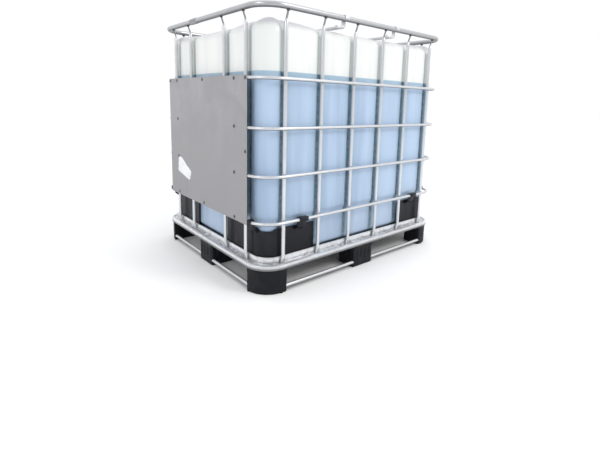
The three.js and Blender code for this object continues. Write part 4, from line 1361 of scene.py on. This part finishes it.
class BULK_OT_valve(bpy.types.Operator):
    """Builds the discharge valve: body, lock ring, disc, lever, dust cap and seals"""
    bl_idname = "bulk.valve"
    bl_label = "Discharge valve"

    def execute(self, context):
        low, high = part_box("valve_lock_ring")
        self.axis = (low.z + high.z) / 2
        self.centre = (0, 0, self.axis)
        low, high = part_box("valve_disc")
        self.pivot = (low.x + high.x) / 2
        self.casting()
        self.lock_ring()
        self.disc()
        self.lever()
        self.cap()
        self.seals()
        return {"FINISHED"}

    def pipe(self, profile, radius, segments=64, lobes=None):
        """A hollow piece turned about the valve's level axis, from [radius, x] pairs in millimetres."""
        return turned(soften(np.array(profile) * MM, radius), self.centre, "X", segments, lobes)

    def casting(self):
        """The body: a flanged pipe, the boss that holds the stem, and a web each side of it."""
        low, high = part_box("valve_body")
        f, e = low.x / MM, high.x / MM
        wall = [[25, f], [33, f], [33, f + 5], [29.2, f + 5.2], [28.8, f + 22], [31, f + 24], [31, f + 30],
                [28.9, f + 32], [28.9, e - 14], [29, e], [25, e]]
        foot, top = (self.axis + 26 * MM) / MM, (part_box("valve_lever")[0].z - 0.3 * MM) / MM
        boss = [[6.6, foot], [13, foot], [13, top - 3], [10.5, top], [6.6, top]]
        body = [self.pipe(wall, 0.7 * MM), turned(soften(np.array(boss) * MM, 0.8 * MM), (self.pivot, 0, 0))]
        for side in (-1, 1):
            web = np.array([[0, 12], [13, 12], [13, 26], [0, 34]]) * MM * [side, 1]
            body.append(slab(soften(web + [self.pivot, self.axis + 8 * MM], 1.5 * MM), (0, -1.6 * MM, 0),
                             (1, 0, 0), (0, 0, 1), (0, 1, 0), 3.2 * MM))
        piece("valve_casting", body, finish("valve"), replaces=["valve_body"])

    def lock_ring(self):
        low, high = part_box("valve_lock_ring")
        f, e = low.x / MM, high.x / MM
        wall = [[33.6, f], [42, f], [42.2, f + 3], [42.2, e - 6], [38, e], [29.7, e], [29.7, e - 3.4],
                [33.6, e - 3.4]]
        piece("lock_ring", [self.pipe(wall, 0.9 * MM, 180, grips(16, 0.75 * MM, 41 * MM))],
              finish("lid"), replaces=["valve_lock_ring"])

    def disc(self):
        """The disc, thinner at its rim, and the stem that turns it."""
        low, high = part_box("valve_disc")
        x, foot, top = self.pivot / MM, low.z / MM + 16, high.z / MM
        plate = [[0, x - 2.5], [14, x - 2.5], [24.1, x - 0.9], [24.1, x + 0.9], [14, x + 2.5], [0, x + 2.5]]
        stem = [[0, foot], [5.5, foot], [5.5, top - 1], [4.5, top], [0, top]]
        piece("disc_and_stem", [turned_solid(np.array(plate) * MM, 0.7 * MM, self.centre, "X"),
                                turned_solid(np.array(stem) * MM, 0.4 * MM, (self.pivot, 0, 0), segments=32)],
              finish("lid"), body="valve_stem_body", replaces=["valve_disc"])

    def lever(self):
        """A hub round the stem, and an arm that tapers to a round tip."""
        low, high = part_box("valve_lever")
        foot, top, reach = low.z / MM, high.z / MM, high.y / MM
        hub = [[5.8, foot], [14, foot], [14, top - 2], [12, top], [5.8, top]]
        t = np.linspace(0, TAU / 2, 12)
        tip = np.stack([8.5 * np.cos(t), reach - 8.5 + 8.5 * np.sin(t)], -1)
        arm = np.vstack([[[9.5, 8], [6.2, reach * 0.45]], tip, [[-6.2, reach * 0.45], [-9.5, 8]]])
        base = low.z + 3.8 * MM
        shells = [turned(soften(np.array(hub) * MM, 0.8 * MM), (self.pivot, 0, 0)),
                  slab(soften(arm * MM, 1.2 * MM), (self.pivot, 0, base), (1, 0, 0), (0, 1, 0), (0, 0, 1),
                       high.z - base, bevel=1.4 * MM)]
        piece("lever", shells, finish("red"), body="valve_stem_body", replaces=["valve_lever"])

    def cap(self):
        """The dust cap, with a grip bar across its dished face."""
        low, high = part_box("dust_cap")
        f, e = low.x / MM, high.x / MM
        wall = [[0, e - 2.2], [22, e - 2.2], [25, e], [31.5, e], [34.2, e - 2.4], [34.4, f], [29.8, f],
                [29.8, e - 5.2], [0, e - 5.2]]
        grip = slab(soften(np.array([[-21, -3], [21, -3], [21, 3], [-21, 3]]) * MM, 1.8 * MM),
                    (high.x - 2.6 * MM, 0, self.axis), (0, 1, 0), (0, 0, 1), (1, 0, 0), 2.6 * MM)
        piece("outlet_cap", [turned_solid(np.array(wall) * MM, 0.7 * MM, self.centre, "X", 160,
                                          grips(20, 0.6 * MM, 33.5 * MM)), grip],
              finish("red"), body="dust_cap_body", replaces=["dust_cap"])

    def seals(self):
        """The dust cap's seal, and the one between the outlet neck and the valve."""
        low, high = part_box("dust_cap_gasket")
        start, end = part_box("outlet_neck")[1].x / MM + 0.3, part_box("valve_body")[0].x / MM - 0.3
        rings = [("cap_seal", 28.4, low.x / MM, high.x / MM, "cap_pull_carrier", ["dust_cap_gasket"]),
                 ("flange_seal", 29.5, start, end, "root", [])]
        for name, outer, a, b, body_name, nodes in rings:
            piece(name, [self.pipe([[25.2, a], [outer, a], [outer, b], [25.2, b]], 0.6 * MM)],
                  finish("rubber"), body=body_name, replaces=nodes)


# ---------------------------------------------------------------- stage

LENS, SHIFT_X, SHIFT_Y = 24.03, -0.0341, -0.1163
CAMERA_PLACE = (-1.4187, -1.7601, 0.7962), (0.6545, 0.7398, -0.1563), (0.0817, 0.1363, 0.9873)
FLOOR_RADIUS, FLOOR_SIDES = 30.0, 96
AIM_POINT, LAMP_WIDTH = (0, 0, 0.55), 1.5
LAMPS = [  # name, place, power, tint
    ("key", (1.4, -3.6, 3.2), 62, (1.0, 0.99, 0.97)),
    ("end_fill", (-4.0, -0.8, 2.4), 26, (0.97, 0.98, 1.0)),
]
SKY_TINT = (0.985, 0.99, 1.0, 1)
SKY_RAMPS = [  # direction, where the ramp starts and ends, brightness before and after it
    ((0.66, 0.75, 0.0), -0.35, 0.25, 0.66, 1.02),
    ((0.0, 0.0, 1.0), 0.35, 0.95, 0.0, 0.45),
]


def aim(thing, eye, forward, up):
    """Places a camera or light at `eye`, looking along `forward`."""
    back = -Vector(forward).normalized()
    right = Vector(up).cross(back).normalized()
    turn = Matrix((right, back.cross(right), back)).transposed()
    thing.matrix_world = Matrix.Translation(eye) @ turn.to_4x4()


class BULK_OT_stage(bpy.types.Operator):
    """Sets the camera, the pale floor and the soft studio light"""
    bl_idname = "bulk.stage"
    bl_label = "Stage"

    def execute(self, context):
        self.camera(context)
        self.floor()
        self.lights(context)
        context.scene.view_settings.view_transform = "Standard"
        return {"FINISHED"}

    def camera(self, context):
        data = bpy.data.cameras.new("camera")
        data.sensor_width = 36
        data.lens = LENS
        data.shift_x, data.shift_y = SHIFT_X, SHIFT_Y
        camera = bpy.data.objects.new("camera", data)
        context.scene.collection.objects.link(camera)
        aim(camera, *CAMERA_PLACE)
        context.scene.camera = camera

    def floor(self):
        """A wide round floor, as one flat face."""
        t = np.arange(FLOOR_SIDES) / FLOOR_SIDES * TAU
        ring = np.stack([np.cos(t), np.sin(t), np.zeros(FLOOR_SIDES)], -1) * FLOOR_RADIUS
        mesh = bpy.data.meshes.new("floor")
        mesh.from_pydata(ring.tolist(), [], [list(range(FLOOR_SIDES))])
        look = Look("floor_white")
        soft = look.noise(0.8, 2)
        mesh.materials.append(look.set(Base_Color=look.mix(soft, (0.95, 0.95, 0.95), (0.97, 0.97, 0.97)),
                                       Roughness=soft * 0.1 + 0.8))
        floor = bpy.data.objects.new("floor", mesh)
        bpy.context.scene.collection.objects.link(floor)

    def lights(self, context):
        """A pale sky, brighter ahead of the camera and overhead, and two soft round lamps."""
        world = bpy.data.worlds.new("studio")
        world.use_nodes = True
        nodes, links = world.node_tree.nodes, world.node_tree.links
        way = nodes.new("ShaderNodeTexCoord").outputs["Generated"]
        total = nodes.new("ShaderNodeMath")
        for ramp, socket in zip(SKY_RAMPS, total.inputs):
            dot = nodes.new("ShaderNodeVectorMath")
            dot.operation = "DOT_PRODUCT"
            dot.inputs[1].default_value = ramp[0]
            links.new(way, dot.inputs[0])
            fit = nodes.new("ShaderNodeMapRange")
            fit.interpolation_type = "SMOOTHSTEP"
            for label, value in zip(("From Min", "From Max", "To Min", "To Max"), ramp[1:]):
                fit.inputs[label].default_value = value
            links.new(dot.outputs["Value"], fit.inputs["Value"])
            links.new(fit.outputs["Result"], socket)
        sky = nodes["Background"]
        sky.inputs["Color"].default_value = SKY_TINT
        links.new(total.outputs["Value"], sky.inputs["Strength"])
        context.scene.world = world
        for name, place, power, tint in LAMPS:
            data = bpy.data.lights.new(name, "AREA")
            data.shape = "DISK"
            data.size = LAMP_WIDTH
            data.energy = power
            data.color = tint
            lamp = bpy.data.objects.new(name, data)
            context.scene.collection.objects.link(lamp)
            aim(lamp, place, Vector(AIM_POINT) - Vector(place), UP)


# ---------------------------------------------------------------- panel and registration

MAKERS = (BULK_OT_stage, BULK_OT_bottle, BULK_OT_cage, BULK_OT_cross_bars, BULK_OT_label_plate,
          BULK_OT_pallet, BULK_OT_corner_guards, BULK_OT_filler_lid, BULK_OT_valve)


class BULK_PT_container(bpy.types.Panel):
    """Lists what builds each part of the container"""
    bl_label = "Bulk container"
    bl_idname = "BULK_PT_container"
    bl_space_type = "VIEW_3D"
    bl_region_type = "UI"
    bl_category = "Container"

    def draw(self, context):
        for maker in MAKERS:
            self.layout.operator(maker.bl_idname)


CLASSES = (TubeSizes, BottleSizes, Finishes, ContainerSettings, *MAKERS, BULK_PT_container)


def register():
    for cls in CLASSES:
        bpy.utils.register_class(cls)
    bpy.types.Scene.bulk_container = PointerProperty(type=ContainerSettings)


def unregister():
    del bpy.types.Scene.bulk_container
    for cls in reversed(CLASSES):
        bpy.utils.unregister_class(cls)


def corners(box):
    """A box's two corners as plain lists."""
    return [[float(v) for v in corner] for corner in box]


def main():
    register()
    for maker in MAKERS:
        group, name = maker.bl_idname.split(".")
        getattr(getattr(bpy.ops, group), name)()


if __name__ == "__main__":
    main()
